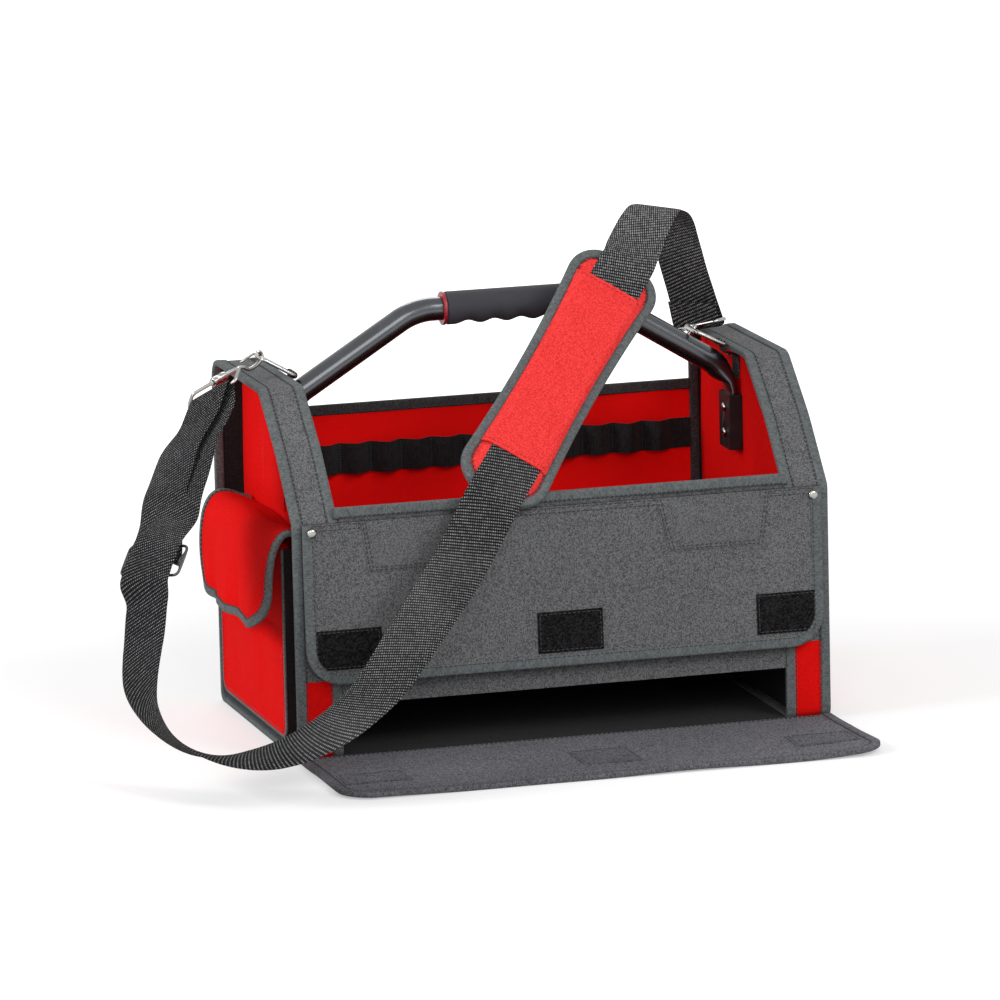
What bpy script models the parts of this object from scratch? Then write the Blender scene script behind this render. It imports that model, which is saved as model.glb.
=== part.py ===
"""Open-top fabric tool tote: gable ends, bent tube handle, drop front, end pockets and shoulder strap.

X runs along the body, Y from front to back, Z up. The base lies on z = 0.
"""

import math

import bmesh
import bpy
from mathutils import Matrix, Vector

# Body
BODY_LENGTH = 0.500
BODY_DEPTH = 0.286
BODY_HEIGHT = 0.322
KINK_Z = 0.2165
SLOPE_TOP_Y = -0.033
FOOT_RADIUS = 0.010
KINK_RADIUS = 0.010
SLOPE_RADIUS = 0.120
# How far the middle of the front slope stands out from a straight line between its ends.
SLOPE_BULGE = 0.0055
SLOPE_TOP_RADIUS = 0.022
BACK_TOP_RADIUS = 0.020
BAND_WIDTH = 0.042
PANEL = 0.003
BASE_THICKNESS = 0.0045
END_WALL = 0.0035
END_WALL_INSET = 0.031
END_WALL_INNER_X = BODY_LENGTH / 2 - END_WALL_INSET
GAP = 0.0003
CUT_OVERRUN = 0.002
ARC_STEPS = 6

# Binding tape
TAPE_WIDTH = 0.010
TAPE = 0.0009

# Floor and walls
FLOOR_Z = 0.0535
FLOOR_THICKNESS = 0.004
FRONT_WALL_BOTTOM_Z = 0.050
FRONT_WALL_TOP_Z = 0.229
BACK_WALL_TOP_Z = 0.270

# Apron
APRON_INSET = 0.008
APRON_HALF_WIDTH = BODY_LENGTH / 2 - APRON_INSET
APRON_BOTTOM_Z = 0.071
APRON_THICKNESS = 0.0025
APRON_RADIUS = 0.032
APRON_STANDOFF = 0.006
PATCH_THICKNESS = 0.0015
PATCH_STEPS = 4
# Both ends along the body as shares of its length, then bottom and top heights.
HOOK_PATCH_SHARES = {"left": (-0.4746, -0.3456), "centre": (-0.0560, 0.0660), "right": (0.3560, 0.4800)}
HOOK_PATCH_ZS = {"left": (0.0856, 0.1200), "centre": (0.0840, 0.1210), "right": (0.0860, 0.1217)}
RIVET_INSET = 0.016
RIVET_X = BODY_LENGTH / 2 - RIVET_INSET
RIVET_Z = 0.209
RIVET_HEAD_RADIUS = 0.0045
RIVET_HEAD_HEIGHT = 0.0020
RIVET_SHANK_RADIUS = 0.0020
# Rim of a rivet's head, as shares of its radius and height.
HEAD_RIM_SHARE = 0.85
HEAD_SIDE_SHARE = 0.6

# Lower flap
FLAP_LENGTH = 0.162
FLAP_FRONT_Y = -BODY_DEPTH / 2 - FLAP_LENGTH
FLAP_RADIUS = 0.028
# Both ends along the body as shares of its length, then both distances from the flap's front edge.
LOOP_PATCH_SHARES = {"left": (-0.4760, -0.3560), "centre": (-0.0400, 0.0700), "right": (0.3560, 0.4760)}
LOOP_PATCH_REACHES = {"left": (0.040, 0.080), "centre": (0.040, 0.095), "right": (0.040, 0.080)}

# End pockets
POCKET_FRONT_Y = -0.105
POCKET_BACK_Y = 0.132
POCKET_BOTTOM_Z = 0.012
POCKET_TOP_Z = 0.187
POCKET_WALL = 0.0020
POCKET_RADIUS = 0.014
POCKET_FLAP_THICKNESS = 0.0025
POCKET_FLAP_FRONT_Y = -0.115
POCKET_FLAP_BACK_Y = 0.110
POCKET_FLAP_RADIUS = 0.024
POCKET_FLAP_HINGE_Z = 0.1930
# Way out from the end wall, as shares of the flap's drop: (out, down).
POCKET_FLAP_REACH = 0.0520
POCKET_FLAP_DROP = 0.0810
POCKET_FLAP_SHARES = (
    (0.00, 0.000),
    (0.20, -0.045),
    (0.40, -0.095),
    (0.60, -0.105),
    (0.76, -0.040),
    (0.88, 0.110),
    (0.95, 0.350),
    (0.98, 0.600),
    (1.00, 0.860),
    (1.00, 1.000),
)

# Handle
HANDLE_Y = 0.026
TUBE_RADIUS = 0.011
GRIP_Z = 0.3725
LEG_STANDOFF = 0.0145
LOWER_BEND_X = END_WALL_INNER_X - LEG_STANDOFF
UPPER_BEND_RUN = 0.1175
UPPER_BEND_X = LOWER_BEND_X - UPPER_BEND_RUN
LOWER_BEND_Z = 0.3000
UPPER_BEND_RADIUS = 0.060
LOWER_BEND_RADIUS = 0.024
FLAT_HALF_WIDTH = 0.0135
FLAT_HALF_THICKNESS = 0.0035
FLAT_TOP_Z = 0.2790
LEG_BOTTOM_Z = 0.2275
TUBE_SIDES = 20
BEND_PRESS_SHARES = (0, 0, 0, 0, 0.12, 0.30, 0.55, 0.80)
BEND_STEPS = 7
GRIP_RADIUS = 0.015
GRIP_HALF_LENGTH = 0.059
GRIP_WAVES = 4
GRIP_WAVE_DEPTH = 0.0022
GRIP_STEPS = 32
GRIP_RING_RADIUS = 0.0160
GRIP_RING_WIDTH = 0.0030
BRACKET_BOTTOM_Z = 0.2240
BRACKET_TOP_Z = 0.2755
BRACKET_HALF_WIDTH = 0.0162
BRACKET_WALL = 0.0022
BRACKET_REACH = 0.0125
BRACKET_INNER_X = END_WALL_INNER_X - BRACKET_REACH
BOLT_ZS = (0.2385, 0.2620)
BOLT_HEAD_RADIUS = 0.0045
BOLT_HEAD_HEIGHT = 0.0022
BOLT_SHANK_RADIUS = 0.0022
ROUND_SIDES = 16

# Tool loops on the back wall
LOOP_BOTTOM_Z = 0.205
LOOP_TOP_Z = 0.234
LOOP_PITCH = END_WALL_INNER_X * 2 / 15
LOOP_BULGE = 0.0105
LOOP_STRETCH = 0.0018
LOOP_COUNTS = {"left": 4, "centre": 5, "right": 4}
LOOP_STEPS = 6

# Strap hardware
WIRE_RADIUS = 0.0018
WIRE_SIDES = 10
TAB_WIDTH = 0.020
TAB_THICKNESS = 0.0012
TAB_FOOT_Z = 0.290
# Where the tab's wrap round the wire begins and how much of it stays open, as shares of half a turn.
TAB_START_SHARE = 0.30
TAB_OPEN_SHARE = 0.55
# The tab's way up to the ring, in and down as shares of its wrap.
TAB_SHARES = ((0, 5.4), (1.2, 4.2), (3.6, 3.6), (4.5, 2.6))
RING_HALF_WIDTH = 0.0150
RING_CORNER = 0.0045
RING_STANDOFF = 0.0155
RING_FOOT_X = END_WALL_INNER_X - RING_STANDOFF
RING_FOOT_Z = 0.3222
EYE_LENGTH = 0.018
EYE_HALF_WIDTH = 0.0305
EYE_CORNER = 0.004
BOSS_RADIUS = 0.0045
BOSS_HALF_LENGTH = 0.0045
PIN_RADIUS = 0.0015
PIN_CLEARANCE = 0.0004
BARREL_RADIUS = 0.0045
BARREL_LENGTH = 0.009
BARREL_SHARES = ((0.6, 0), (1, 0.25), (1, 0.75), (0.7, 1))
HOOK_RADIUS = 0.0021
HOOK_CURL = 0.0046
HOOK_THROAT = 0.0068
HOOK_TURN_SHARE = 0.95
GATE_RADIUS = 0.0014
GATE_LENGTH = 0.0200
GATE_TIP_GAP = 0.0016
GATE_TIP_SHARE = 0.45

# Strap
STRAP_WIDTH = 0.050
STRAP_THICKNESS = 0.0020
PAD_LENGTH = 0.290
PAD_WIDTH = 0.086
PAD_THICKNESS = 0.0055
PAD_CROWN = 0.0035
# The pad's layers: size of its outline, then depth below its face, and the size at its crown.
PAD_EDGE_SHARES = ((0.94, 0), (1, 0.3), (1, 0.7), (0.94, 1))
PAD_CROWN_SHARE = 0.6
PAD_RADIUS = 0.026
COVER_THICKNESS = 0.0018
COVER_FOOT = 0.093
COVER_HEAD = 0.124
SLIDER_HALF_WIDTH = 0.030
SLIDER_HALF_LENGTH = 0.016
SLIDER_CORNER = 0.005
SLIDER_OVER = 0.0053
SLIDER_UNDER = 0.0034
SLIDER_LEAD = 0.010
TAIL_LENGTH = 0.024
SLIDER_BAR_RADIUS = 0.0014
SPLINE_STEPS = 3
WRAP_STEPS = 6
STRAIGHT_SHARES = (0, 0.05, 0.5, 0.95, 1)

# Far ends of the rings, the swivels and the webbing bars: x, y, z as shares of the body's
# length, depth and height, then the direction of the webbing bar.
LEFT_RING_SHARES = (-0.468, 0.094, 1.056)
LEFT_SWIVEL_SHARES = (-0.563, -0.010, 1.0125)
LEFT_BAR_SHARES = (-0.578, -0.058, 0.980)
LEFT_BAR_DIRECTION_SHARES = (-0.530, 0.720, -0.440)
RIGHT_RING_SHARES = (0.353, 0.091, 1.045)
RIGHT_SWIVEL_SHARES = (0.386, 0.308, 1.017)
RIGHT_BAR_SHARES = (0.413, 0.349, 1.017)
RIGHT_BAR_DIRECTION_SHARES = (-0.641, 0.724, -0.259)

# The strap's hand-chosen way: x, y, z as shares of the body's length, depth and height, then
# the direction of the webbing's width. The first table starts at the slider's middle bar.
STRAP_BACK_SHARES = (
    (-0.726, -0.360, 0.642, -0.68, 0.70, -0.22),
    (-0.699, -0.290, 0.712, -0.65, 0.72, -0.25),
    (-0.669, -0.217, 0.781, -0.60, 0.75, -0.29),
    (-0.641, -0.150, 0.847, -0.56, 0.76, -0.33),
    (-0.612, -0.098, 0.906, -0.54, 0.74, -0.40),
)
STRAP_FRONT_SHARES = (
    (-0.579, -0.110, 0.935, -0.52, 0.75, -0.41),
    (-0.605, -0.168, 0.873, -0.52, 0.75, -0.41),
    (-0.645, -0.273, 0.782, -0.61, 0.74, -0.29),
    (-0.693, -0.378, 0.691, -0.67, 0.72, -0.19),
)
STRAP_LIMB_SHARES = (
    (-0.774, -0.542, 0.504, -0.58, 0.78, -0.26),
    (-0.789, -0.594, 0.403, -0.55, 0.79, -0.26),
    (-0.810, -0.664, 0.293, -0.44, 0.80, -0.40),
    (-0.803, -0.717, 0.209, -0.03, 0.80, -0.60),
    (-0.774, -0.787, 0.146, 0.40, 0.70, -0.59),
    (-0.733, -0.874, 0.118, 0.68, 0.65, -0.34),
    (-0.684, -0.969, 0.121, 0.68, 0.73, 0.08),
    (-0.631, -1.042, 0.139, 0.45, 0.83, 0.33),
    (-0.580, -1.091, 0.172, 0.16, 0.90, 0.42),
    (-0.529, -1.112, 0.213, -0.19, 0.91, 0.36),
    (-0.480, -1.091, 0.256, -0.51, 0.83, 0.24),
    (-0.424, -1.031, 0.310, -0.68, 0.70, 0.19),
    (-0.350, -0.916, 0.405, -0.77, 0.58, 0.26),
    (-0.237, -0.717, 0.547, -0.80, 0.45, 0.40),
    (-0.178, -0.622, 0.645, -0.82, 0.38, 0.43),
)
STRAP_PAD_FOOT_SHARES = (-0.147, -0.574, 0.704, -0.80, 0.33, 0.50)
STRAP_PAD_HEAD_SHARES = (0.213, -0.035, 1.275, -0.80, 0.33, 0.50)
STRAP_ARCH_SHARES = (
    (0.244, 0.049, 1.320, -0.81, 0.52, 0.27),
    (0.277, 0.112, 1.374, -0.74, 0.65, 0.15),
    (0.311, 0.175, 1.391, -0.68, 0.72, 0.06),
    (0.344, 0.231, 1.361, -0.66, 0.75, 0.00),
    (0.367, 0.280, 1.277, -0.66, 0.74, -0.06),
    (0.385, 0.315, 1.183, -0.66, 0.73, -0.12),
    (0.402, 0.336, 1.091, -0.66, 0.72, -0.20),
)
SLIDER_SHARES = (-0.750, -0.475, 0.600, -0.67, 0.74, -0.05)

PLASTIC_BLACK = (0.012, 0.012, 0.014)
RED = (0.62, 0.012, 0.016)
GREY = (0.085, 0.085, 0.090)
DARK = (0.022, 0.022, 0.024)
GUNMETAL = (0.060, 0.062, 0.068)
STEEL = (0.62, 0.62, 0.60)


# Building blocks


def clear_scene():
    for old in list(bpy.data.objects):
        bpy.data.objects.remove(old, do_unlink=True)


def finish_of(name, colour, metallic=0.0, roughness=0.8):
    surface = bpy.data.materials.new(name)
    surface.use_nodes = True
    shader = surface.node_tree.nodes["Principled BSDF"]
    shader.inputs["Base Color"].default_value = (*colour, 1.0)
    shader.inputs["Metallic"].default_value = metallic
    shader.inputs["Roughness"].default_value = roughness
    surface.diffuse_color = (*colour, 1.0)
    return surface


def solid(name, corners, faces, colour, metallic=0.0, roughness=0.8):
    mesh = bpy.data.meshes.new(name)
    mesh.from_pydata([tuple(corner) for corner in corners], [], faces)
    shell = bmesh.new()
    shell.from_mesh(mesh)
    bmesh.ops.recalc_face_normals(shell, faces=shell.faces)
    if shell.calc_volume(signed=True) < 0:
        bmesh.ops.reverse_faces(shell, faces=shell.faces)
    shell.to_mesh(mesh)
    shell.free()
    body = bpy.data.objects.new(name, mesh)
    bpy.context.scene.collection.objects.link(body)
    body.data.materials.append(finish_of(name, colour, metallic, roughness))
    return body


def loft(name, loops, colour, closed=False, metallic=0.0, roughness=0.8):
    """Skin over loops of equal length, capped at its ends unless it closes on itself."""
    count, rows = len(loops[0]), len(loops)
    corners = [corner for loop in loops for corner in loop]
    faces = []
    for row in range(rows if closed else rows - 1):
        here, there = row * count, (row + 1) % rows * count
        for index in range(count):
            beside = (index + 1) % count
            faces.append((here + index, here + beside, there + beside, there + index))
    if not closed:
        faces.append(tuple(range(count)))
        faces.append(tuple(range((rows - 1) * count, rows * count)))
    return solid(name, corners, faces, colour, metallic, roughness)


def box(name, x_span, y_span, z_span, colour):
    (x0, x1), (y0, y1), (z0, z1) = x_span, y_span, z_span
    loops = [[(x, y0, z0), (x, y1, z0), (x, y1, z1), (x, y0, z1)] for x in (x0, x1)]
    return loft(name, loops, colour)


def combine(body, other, operation):
    """Joins or cuts the body with the other solid, which is then removed."""
    step = body.modifiers.new(operation.lower(), "BOOLEAN")
    step.operation = operation
    step.solver = "EXACT"
    step.object = other
    graph = bpy.context.evaluated_depsgraph_get()
    result = bpy.data.meshes.new_from_object(body.evaluated_get(graph))
    body.modifiers.clear()
    body.data = result
    bpy.data.objects.remove(other, do_unlink=True)
    return body


def arc(centre, start, end, steps):
    """Points round the centre from one spoke to the other."""
    return [centre + start.slerp(end, step / steps) * start.length for step in range(steps + 1)]


def turn_about(place, *names):
    """Puts the origin of each moving piece on its joint."""
    for name in names:
        body = bpy.data.objects[name]
        body.data.transform(Matrix.Translation(-Vector(place)))
        body.location = place


def rounded(corners, radii, steps=ARC_STEPS):
    """Outline through the corners of a polygon, each turned into an arc of its own radius."""
    outline = []
    count = len(corners)
    for index, radius in enumerate(radii):
        before = Vector(corners[index - 1])
        corner = Vector(corners[index])
        after = Vector(corners[(index + 1) % count])
        back, on = (before - corner).normalized(), (after - corner).normalized()
        half_angle = back.angle(on) / 2
        centre = corner + (back + on).normalized() * radius / math.sin(half_angle)
        start = corner + back * radius / math.tan(half_angle) - centre
        end = corner + on * radius / math.tan(half_angle) - centre
        outline += arc(centre, start, end, steps)
    return outline


def inset_corners(corners, distance):
    """Corners of a convex polygon whose sides have all moved in by the distance."""
    moved = []
    count = len(corners)
    for index in range(count):
        before = Vector(corners[index - 1])
        corner = Vector(corners[index])
        after = Vector(corners[(index + 1) % count])
        back, on = (before - corner).normalized(), (after - corner).normalized()
        half_angle = back.angle(on) / 2
        moved.append(corner + (back + on).normalized() * distance / math.sin(half_angle))
    return moved


def gable(inset):
    """Outline of the gable end in Y and Z, moved in by the inset."""
    front, back = -BODY_DEPTH / 2, BODY_DEPTH / 2
    slope = Vector((SLOPE_TOP_Y - front, BODY_HEIGHT - KINK_Z))
    bulge = Vector((-slope.y, slope.x)).normalized() * SLOPE_BULGE
    middle = Vector((front, KINK_Z)) + slope / 2 + bulge
    top = (SLOPE_TOP_Y, BODY_HEIGHT)
    corners = [(front, 0), (front, KINK_Z), middle, top, (back, BODY_HEIGHT), (back, 0)]
    radii = (FOOT_RADIUS, KINK_RADIUS, SLOPE_RADIUS, SLOPE_TOP_RADIUS, BACK_TOP_RADIUS, FOOT_RADIUS)
    return rounded(inset_corners(corners, inset), [radius - inset for radius in radii])


def gable_ring(name, section, colour):
    """Carries a section of (x, inset) points right round the gable outline."""
    loops = [[(x, point.x, point.y) for point in gable(inset)] for x, inset in section]
    return loft(name, loops, colour, closed=True)


def tape_section(edge, inward, face, thickness):
    """U section of a binding tape: (across, depth) points, opening away from the bound edge."""
    tip = edge + inward * TAPE_WIDTH
    seat = edge + inward * TAPE
    far = face + thickness
    return (
        (edge, face),
        (tip, face),
        (tip, face + TAPE),
        (seat, face + TAPE),
        (seat, far - TAPE),
        (tip, far - TAPE),
        (tip, far),
        (edge, far),
    )


def circle(centre, side, up, radius, sides=ROUND_SIDES):
    points = []
    for index in range(sides):
        angle = math.tau * index / sides
        points.append(centre + (side * math.cos(angle) + up * math.sin(angle)) * radius)
    return points


def turned(name, centre, axis, profile, colour, sides=ROUND_SIDES, metallic=1.0, roughness=0.3):
    """Revolves (radius, along) points round an axis through the centre."""
    axis = Vector(axis).normalized()
    side = axis.orthogonal().normalized()
    up = axis.cross(side)
    loops = [circle(Vector(centre) + axis * along, side, up, radius, sides) for radius, along in profile]
    return loft(name, loops, colour, metallic=metallic, roughness=roughness)


def wire(name, path, normal, radius, colour, closed=False, sides=WIRE_SIDES, roughness=0.3):
    """Round wire along a path that lies across the given normal."""
    loops = []
    count = len(path)
    for index, place in enumerate(path):
        before = path[index - 1] if closed or index else path[0]
        after = path[(index + 1) % count] if closed or index < count - 1 else path[-1]
        along = (Vector(after) - Vector(before)).normalized()
        side = along.cross(normal).normalized()
        loops.append(circle(Vector(place), side, Vector(normal).normalized(), radius, sides))
    return loft(name, loops, colour, closed=closed, metallic=1.0, roughness=roughness)


def sheet(name, stations, thickness, colour):
    """Cloth through stations of (place, across, normal, low, high)."""
    loops = []
    for place, across, normal, low, high in stations:
        lift = Vector(normal).normalized() * thickness / 2
        place, across = Vector(place), Vector(across)
        near, far = place + across * low, place + across * high
        loops.append([near + lift, far + lift, far - lift, near - lift])
    return loft(name, loops, colour)


def spline(places, steps=SPLINE_STEPS):
    """Smooth way through the places, as a Catmull-Rom curve of vectors of any size."""
    ends = [places[0] * 2 - places[1]] + list(places) + [places[-1] * 2 - places[-2]]
    way = []
    for before, start, end, after in zip(ends, ends[1:], ends[2:], ends[3:]):
        for step in range(steps):
            share = step / steps
            way.append(
                (
                    start * 2
                    + (end - before) * share
                    + (before * 2 - start * 5 + end * 4 - after) * share**2
                    + (start * 3 - before - end * 3 + after) * share**3
                )
                / 2
            )
    way.append(places[-1])
    return way


def at_shares(shares):
    return Vector((shares[0] * BODY_LENGTH, shares[1] * BODY_DEPTH, shares[2] * BODY_HEIGHT))


# Carcass


def make_base():
    half = BODY_LENGTH / 2 - BAND_WIDTH - GAP
    front = -BODY_DEPTH / 2
    back = BODY_DEPTH / 2 - TAPE - GAP
    box("base_panel", (-half, half), (front, back), (0, BASE_THICKNESS), DARK)


def make_floor():
    half = END_WALL_INNER_X - GAP
    edge = BODY_DEPTH / 2 - binding_depth() - GAP
    box("raised_floor", (-half, half), (-edge, edge), (FLOOR_Z, FLOOR_Z + FLOOR_THICKNESS), RED)


def binding_depth():
    return PANEL + 2 * (TAPE + GAP)


def make_wall(name, side, bottom, top):
    """Fabric wall between the bands, with a tape over its top edge."""
    half = BODY_LENGTH / 2 - BAND_WIDTH - GAP
    outer = side * BODY_DEPTH / 2
    core_outer = outer - side * (TAPE + GAP)
    core_inner = core_outer - side * PANEL
    ys = sorted((core_outer, core_inner))
    box(name, (-half, half), ys, (bottom, top - TAPE - GAP), GREY if side < 0 else RED)
    face = min(outer, outer - side * binding_depth())
    section = tape_section(top, -1, face, binding_depth())
    loops = [[(x, y, z) for z, y in section] for x in (-half, half)]
    loft(name + "_binding", loops, DARK)


def make_end(name, side):
    """One gable end: band, its two binding tapes and the end wall."""
    outer, inner = BODY_LENGTH / 2, BODY_LENGTH / 2 - BAND_WIDTH
    seat = TAPE + GAP
    face, back = seat, seat + PANEL
    core = ((outer - seat, face), (outer - seat, back), (inner + seat, back), (inner + seat, face))
    gable_ring(name + "_end_band", [(side * x, inset) for x, inset in core], GREY)
    for place, edge, inward in (("outer", outer, -1), ("inner", inner, 1)):
        section = tape_section(edge, inward, 0, binding_depth())
        gable_ring(f"{name}_band_{place}_binding", [(side * x, inset) for x, inset in section], DARK)
    outline = gable(seat + PANEL + GAP)
    faces = (END_WALL_INNER_X, END_WALL_INNER_X + END_WALL)
    loops = [[(side * x, point.x, point.y) for point in outline] for x in faces]
    loft(name + "_end_wall", loops, RED)


# Front apron


def apron_back_y(z):
    """Back face of the apron, which stands further off the front wall towards its hem."""
    top = KINK_Z
    share = (top - z) / (top - APRON_BOTTOM_Z)
    return -BODY_DEPTH / 2 - GAP - APRON_STANDOFF * share**2


def apron_outline(inset):
    """Half outline of the apron: (half width, z) from the hem's middle up to the top corner."""
    radius = APRON_RADIUS - inset
    half, low = APRON_HALF_WIDTH - inset, APRON_BOTTOM_Z + inset
    outline = []
    for step in range(ARC_STEPS + 1):
        angle = math.pi / 2 * step / ARC_STEPS
        outline.append((half - radius * (1 - math.sin(angle)), low + radius * (1 - math.cos(angle))))
    straight = KINK_Z - low - radius
    for step in range(1, ARC_STEPS + 1):
        outline.append((half, low + radius + straight * step / ARC_STEPS))
    return outline


def apron_half_width(z, inset):
    """Half width of the apron's outline, moved in by the inset, at one height."""
    radius = APRON_RADIUS - inset
    below = max(0, APRON_BOTTOM_Z + inset + radius - z)
    return APRON_HALF_WIDTH - inset - radius + math.sqrt(radius**2 - below**2)


def make_hook_patch(name, x0, x1, z0, z1):
    """Hook tape on the apron's face, cut round inside the apron's binding."""
    middle = (x0 + x1) / 2
    stations = []
    for step in range(PATCH_STEPS + 1):
        z = z0 + (z1 - z0) * step / PATCH_STEPS
        limit = apron_half_width(z, TAPE_WIDTH + GAP)
        face = apron_back_y(z) - TAPE - GAP - APRON_THICKNESS - GAP
        place = (middle, face - PATCH_THICKNESS / 2, z)
        low, high = max(x0, -limit) - middle, min(x1, limit) - middle
        stations.append((place, (1, 0, 0), (0, -1, 0), low, high))
    sheet(f"apron_hook_patch_{name}", stations, PATCH_THICKNESS, PLASTIC_BLACK)


def make_apron():
    seat = TAPE + GAP
    depth = APRON_THICKNESS + 2 * seat
    front = -Vector((0, 1, 0))
    stations = []
    for half, z in apron_outline(seat):
        place = (0, apron_back_y(z) - depth / 2, z)
        stations.append((place, (1, 0, 0), front, -half, half))
    apron = sheet("front_apron", stations, APRON_THICKNESS, GREY)
    loops = []
    for inset, out in tape_section(0, 1, 0, depth):
        outline = apron_outline(inset)
        way = [(-half, z) for half, z in reversed(outline)] + outline
        loops.append([(x, apron_back_y(z) - out, z) for x, z in way])
    tape = loft("front_apron_binding", [list(loop) for loop in zip(*loops)], DARK)
    for name, (first, last) in HOOK_PATCH_SHARES.items():
        make_hook_patch(name, first * BODY_LENGTH, last * BODY_LENGTH, *HOOK_PATCH_ZS[name])
    return apron, tape


def make_apron_rivet(name, side, apron, tape):
    """Rivet through the apron's corner, its tape and the band."""
    band = bpy.data.objects[name + "_end_band"]
    seat = TAPE + GAP
    face = apron_back_y(RIVET_Z) - APRON_THICKNESS - 2 * seat - GAP
    tail = -BODY_DEPTH / 2 + seat + PANEL + GAP
    centre = (side * RIVET_X, face, RIVET_Z)
    hole = RIVET_SHANK_RADIUS + GAP
    for body in (apron, tape, band):
        length = tail - face + CUT_OVERRUN
        cutter = turned("cutter", centre, (0, 1, 0), ((hole, -CUT_OVERRUN), (hole, length)), STEEL)
        combine(body, cutter, "DIFFERENCE")
    profile = (
        (RIVET_HEAD_RADIUS / 2, -RIVET_HEAD_HEIGHT),
        (RIVET_HEAD_RADIUS * HEAD_RIM_SHARE, -RIVET_HEAD_HEIGHT * HEAD_SIDE_SHARE),
        (RIVET_HEAD_RADIUS, 0),
        (RIVET_SHANK_RADIUS, 0),
        (RIVET_SHANK_RADIUS, tail - face),
        (RIVET_HEAD_RADIUS, tail - face),
        (RIVET_HEAD_RADIUS * HEAD_RIM_SHARE, tail - face + RIVET_HEAD_HEIGHT / 2),
    )
    turned(f"apron_rivet_{name}", centre, (0, 1, 0), profile, STEEL)


# Lower flap


def make_lower_flap():
    """Drop flap of the front compartment, shown lying open on the ground."""
    seat = TAPE + GAP
    depth = binding_depth()
    root = -BODY_DEPTH / 2 - GAP * 2
    half, length = BODY_LENGTH / 2, root - FLAP_FRONT_Y

    def outline(inset):
        radius = FLAP_RADIUS - inset
        points = []
        for step in range(ARC_STEPS + 1):
            angle = math.pi / 2 * step / ARC_STEPS
            across = half - inset - radius * (1 - math.sin(angle))
            points.append((across, FLAP_FRONT_Y + inset + radius * (1 - math.cos(angle))))
        return points + [(half - inset, FLAP_FRONT_Y + length / 2), (half - inset, root)]

    stations = [((0, y, depth / 2), (1, 0, 0), (0, 0, 1), -across, across) for across, y in outline(seat)]
    sheet("lower_flap", stations, PANEL, GREY)
    loops = []
    for inset, z in tape_section(0, 1, 0, depth):
        points = outline(inset)
        way = [(-across, y) for across, y in reversed(points)] + points
        loops.append([(x, y, z) for x, y in way])
    loft("lower_flap_binding", [list(loop) for loop in zip(*loops)], DARK)
    top = seat + PANEL + GAP
    for name, ends in LOOP_PATCH_SHARES.items():
        across = [share * BODY_LENGTH for share in ends]
        along = [FLAP_FRONT_Y + reach for reach in LOOP_PATCH_REACHES[name]]
        box(f"flap_loop_patch_{name}", across, along, (top, top + PATCH_THICKNESS), PLASTIC_BLACK)
    patches = [f"flap_loop_patch_{name}" for name in LOOP_PATCH_SHARES]
    turn_about((0, root, depth), "lower_flap", "lower_flap_binding", *patches)


# End pockets


def make_pocket(name, side):
    """Open-topped pocket of side, front and bottom cloth, closed at its back by the end wall."""
    root = END_WALL_INNER_X + END_WALL + GAP
    outer = BODY_LENGTH / 2

    def section(inset, reach):
        corners = [
            (root - reach, POCKET_FRONT_Y + inset),
            (outer - inset, POCKET_FRONT_Y + inset),
            (outer - inset, POCKET_BACK_Y - inset),
            (root - reach, POCKET_BACK_Y - inset),
        ]
        arc = POCKET_RADIUS - inset
        return rounded(corners, (GAP, arc, arc, GAP))

    def block(label, inset, reach, bottom, top):
        outline = section(inset, reach)
        return loft(label, [[(side * p.x, p.y, z) for p in outline] for z in (bottom, top)], RED)

    pocket = block(name + "_end_pocket", 0, 0, POCKET_BOTTOM_Z, POCKET_TOP_Z)
    bottom, top = POCKET_BOTTOM_Z + POCKET_WALL, POCKET_TOP_Z + CUT_OVERRUN
    hollow = block("cutter", POCKET_WALL, CUT_OVERRUN, bottom, top)
    combine(pocket, hollow, "DIFFERENCE")


def make_pocket_flap(name, side):
    """Flap hinged on the end wall, arched out over the pocket's mouth and down its face."""
    hinge_x = END_WALL_INNER_X + END_WALL + GAP * 3
    places = []
    for out, down in POCKET_FLAP_SHARES:
        z = POCKET_FLAP_HINGE_Z - down * POCKET_FLAP_DROP
        places.append(Vector((side * (hinge_x + out * POCKET_FLAP_REACH), 0, z)))
    way = spline(places, 2)
    free_z = way[-1].z
    stations = []
    for index, place in enumerate(way):
        after, before = way[min(index + 1, len(way) - 1)], way[max(index - 1, 0)]
        normal = (after - before).cross(Vector((0, side, 0)))
        rise = min(place.z - free_z, POCKET_FLAP_RADIUS) if index > len(way) / 2 else POCKET_FLAP_RADIUS
        lost = POCKET_FLAP_RADIUS - math.sqrt(POCKET_FLAP_RADIUS**2 - (POCKET_FLAP_RADIUS - rise) ** 2)
        stations.append((place, (0, 1, 0), normal, POCKET_FLAP_FRONT_Y + lost, POCKET_FLAP_BACK_Y - lost))
    sheet(name + "_pocket_flap", stations, POCKET_FLAP_THICKNESS, RED)
    upward = stations[0][2].normalized()
    upward = upward if upward.z > 0 else -upward
    turn_about(way[0] + upward * POCKET_FLAP_THICKNESS / 2, name + "_pocket_flap")


# Handle


def handle_path():
    """Half of the tube's centre line, from the grip's middle down to the flat end of the leg."""
    upper_corner, lower_corner = (UPPER_BEND_X, GRIP_Z), (LOWER_BEND_X, LOWER_BEND_Z)
    corners = [(0, GRIP_Z), upper_corner, lower_corner, (LOWER_BEND_X, LEG_BOTTOM_Z)]
    upper = bend(corners[0], corners[1], corners[2], UPPER_BEND_RADIUS)
    lower = bend(corners[1], corners[2], corners[3], LOWER_BEND_RADIUS)
    return upper + lower


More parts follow.
